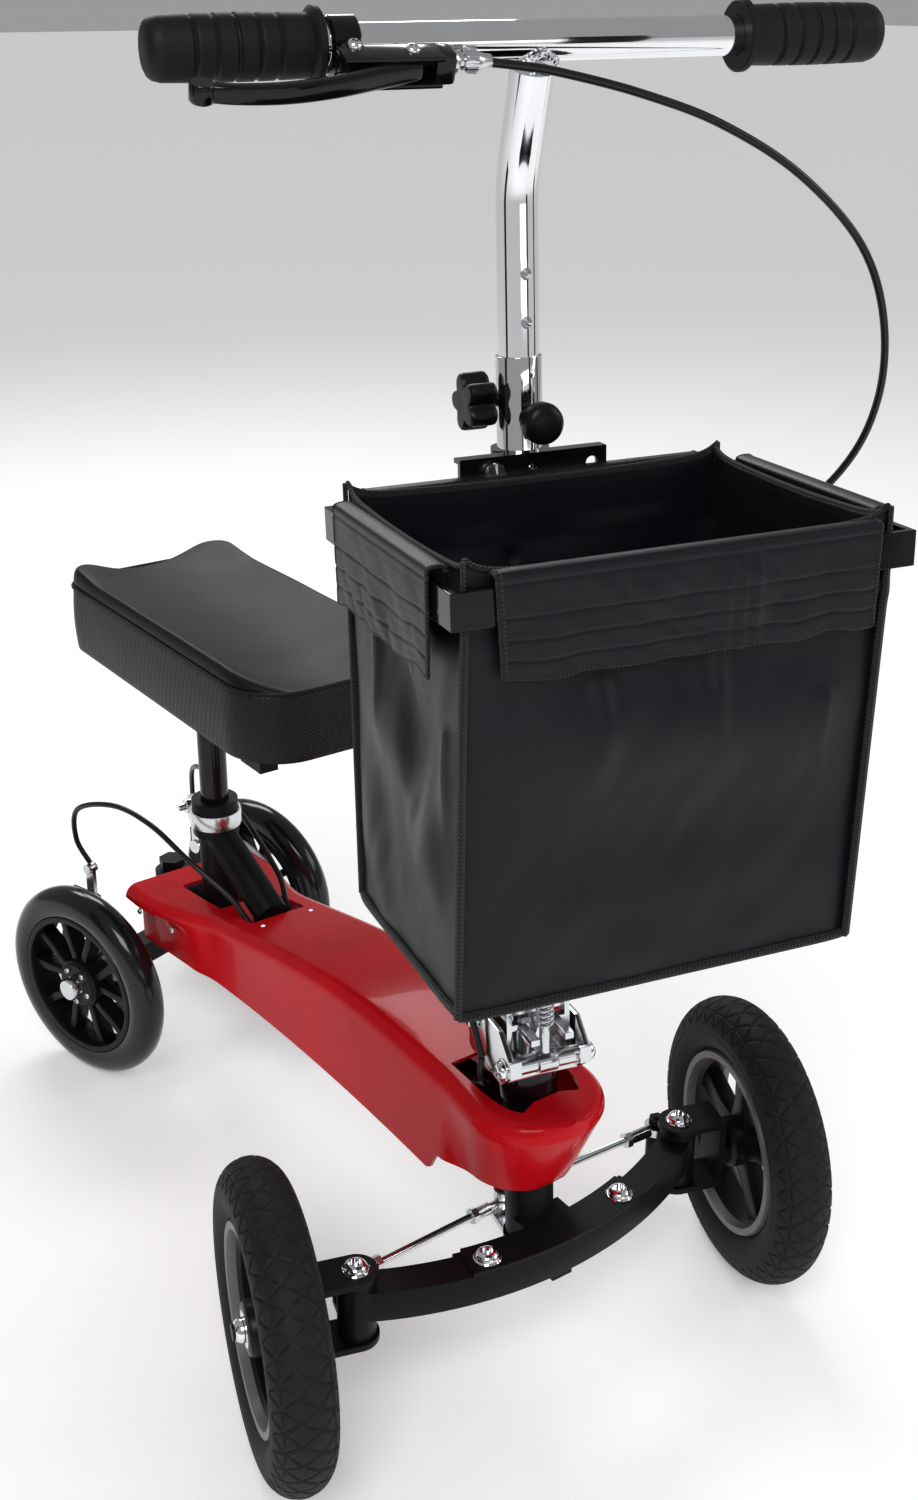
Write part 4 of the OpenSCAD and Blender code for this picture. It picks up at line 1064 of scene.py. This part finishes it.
for low, high, bevel in (((-124, -37, -8.6), (-68, -19, -5.8), 1.2), ((-124, -37, 5.8), (-68, -19, 8.6), 1.2),
                         ((-72, -34, -8.6), (-60, -18, 8.6), 3.0), ((-121, -26, -8), (-69, -20.5, 8), 1.2),
                         ((-121, 9, -6), (-109, 19, -1.5), 1), ((-121, 9, 1.5), (-109, 19, 6), 1)):
    perch.block(low, high, bevel, perchSpace)
for r, h, spot in ((4.2, 2.6, (-84, -27, 8.6)), (4.2, 3.2, (-115, -22, 9)), (3.6, 3, (-115, 14.5, 6))):
    button(perch, r, h, perchSpace @ shift(*spot) @ upward, 1)
perch.build("lever_perch", "stem", "gloss_black", ["brake_perch"], 40, ("gloss_black", "chrome"))
adjuster = Shape()
barrelSpace = perchSpace @ shift(-66, -24, 0)
barrel = [(0, 0.1), (0, 4)] + [(1 + k, 6.4 if k % 2 else 6.0) for k in range(9)]
barrel += [(10, 4.6), (12, 4.6), (12.5, 6.2), (20, 6.2), (21, 5.4), (24, 4.2), (29, 3.6), (29, 0.1)]
adjuster.lathe(barrel, barrelSpace, 48)
for k in range(18):
    adjuster.block((14, -0.5, 5.6), (20, 0.5, 6.7), 0.2, barrelSpace @ turned(20 * k, "X"))
adjuster.build("lever_adjuster", "stem", "bright_zinc", ["barrel_adjuster"])
print("bar and lever ready")

# fixings: domed bolts with hex sockets, knobs, the latch spring and the tray in the seat well
bolts = Shape()
for side in (-1, 1):
    king = rowSpace @ shift(side * place["kingX"], place["kingY"], 0) @ upward
    top = rowSpace @ shift(side * place["kingX"], place["kingY"], 146.3) @ upward
    button(bolts, 9, 6, top)
    bolts.lathe([(-1, 5.2), (-1, 10.2), (0.4, 10.2), (0.9, 9.6), (0.9, 5.2)], top, 40, 0, closed=True)
    bolts.lathe([(77, 0.1), (77, 7.0), (78, 8.0), (84, 8.0), (85, 7.4), (85, 0.1)], king, 6)
    bolts.lathe([(85, 5), (146, 5)], king, 32)
bolts.build("kingpin_heads", "chassis", "chrome", ["kingpin_bolts"], 35)
saddleBolts = Shape()
for x in (-61, 61):
    top = rowSpace @ shift(x, -23.9, 137) @ upward
    button(saddleBolts, 9, 6, top)
    saddleBolts.lathe([(-1, 5), (-1, 10.4), (0.5, 10.4), (1.0, 9.8), (1.0, 5)], top, 40, 0, closed=True)
    saddleBolts.lathe([(103.5, 0.1), (103.5, 5.6), (104.5, 6.5), (108, 6.5), (109, 6.2), (109, 0.1)],
                      rowSpace @ shift(x, -23.9, 0) @ upward, 6)
saddleBolts.build("beam_heads", "chassis", "chrome", ["beam_bolts"], 35)
hinge = {"half": 31, "plate": 4, "pivot": (22, 289), "latch": (-31, 277)}
base = Shape()
sideProfile = [(-40, 274), (-26, 262), (34, 262), (34, 290), (24, 302), (-22, 302), (-40, 286)]
for side in (-1, 1):
    inner, outer = sorted((side * (hinge["half"] - hinge["plate"]), side * hinge["half"]))
    base.plate(sideProfile, inner, outer, 0.7, columnSpace)
    inner, outer = sorted((side * 22, side * hinge["half"]))
    base.block((inner, -41.5, 274), (outer, -38, 287), 0.8, columnSpace)
    for y, z in (hinge["pivot"], hinge["latch"]):
        space = columnSpace @ shift(0, y, z) @ mirrored(side)
        base.lathe([(31, 0.1), (31, 8.2), (32, 8.2), (32.4, 7.4)], space, 40, 1)
        button(base, 7, 5, space @ shift(32.2, 0, 0), 1)
    base.lathe([(8, 4.2), (8, 6.5), (26.8, 6.5), (26.8, 4.2)],
               columnSpace @ shift(0, *hinge["latch"]) @ mirrored(side), 40, 0, closed=True)
for y, z in (hinge["pivot"], hinge["latch"]):
    base.lathe([(-33, 0.1), (-33, 4), (33, 4), (33, 0.1)], columnSpace @ shift(0, y, z), 32, 1)
base.block((-31, -24, 260.4), (31, 32, 264.4), 0.8, columnSpace)
base.lathe([(259.7, 14.5), (259.7, 20.5), (261.5, 20.5), (262, 19.8), (262, 14.5)], columnSpace @ upward,
           56, 0, closed=True)
base.build("hinge_base", "tiller", "chrome", ["fold_base"], 40, ("bracketPlate", "chrome"))

starSpace = columnSpace @ shift(0, 0, 732)
star = Shape()
star.lathe([(-22, 0.1), (-22, 4), (-14.7, 4), (-14.7, 0.1)], starSpace, 28)
knobRows = []
for x, scale in ((-20.4, 0.90), (-21.4, 0.97), (-23, 1.0), (-35.0, 1.0), (-37, 0.97), (-38, 0.90),
                 (-38.3, 0.6), (-38.0, 0.3), (-38.0, 0.02)):
    row = []
    for angle in around(120):
        reach = 15.4 + 3.3 * cos(5 * angle) - 0.5 * cos(10 * angle)
        row.append((x, reach * scale * cos(angle), reach * scale * sin(angle)))
    knobRows.append(row)
star.skin(list(reversed(knobRows)), True, starSpace)
star.skin([[(x, y * s, z * s) for x, y, z in knobRows[0]] for s in (1.0, 0.5, 0.02)], True, starSpace)
star.build("star_grip", "height_knob", "black_plastic", ["star_knob"], 35)
pinSpace = columnSpace @ shift(0, 0, stem["pin"]) @ forward
pullKnob = Shape()
pullKnob.lathe([(13.7, 0.1), (13.7, 3), (15.3, 3), (15.3, 7), (26, 7), (26.6, 6.4), (30, 6.4)], pinSpace, 40)
pullKnob.lathe([(30, 0.1), (30, 11.4), (30.8, 12.5), (36, 12.7), (39, 12.0), (41, 9.8), (41.9, 6),
                (42.1, 0.1)], pinSpace, 56)
pullKnob.build("pin_grip", "height_pin", "black_plastic", ["pull_pin"], 40)
spring = Shape()
spring.tube([(5.6 * cos(k * pi / 12), -31 + 5.6 * sin(k * pi / 12), 304.2 + k * 20 / 120)
             for k in range(121)], 0.95, 10, columnSpace)
spring.build("latch_spring", "latch", "bright_zinc", ["eye_spring"], 60)
Shape().block((-26, 374, 189), (26, 444, 190.4), 0.4).build("well_tray", "chassis", "gloss_red")
print("fixings ready")

# finishes for the CAD nodes that stay, with softened edges
kept = {row["node"]: row["material_slot"] for row in frame["record"]["subparts"]}
for name, node in nodes.items():
    if node.hide_render:
        continue
    look = "rotorSteel" if name.endswith("rotor") else "bracketPlate" if name == "fold_top" else kept[name]
    dressed(node.data, look)
    merge = node.modifiers.new("merge", "WELD")
    merge.merge_threshold = 0.00001
    softened(node, 0.5, 40)
print("carried-over pieces ready")

low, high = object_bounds()
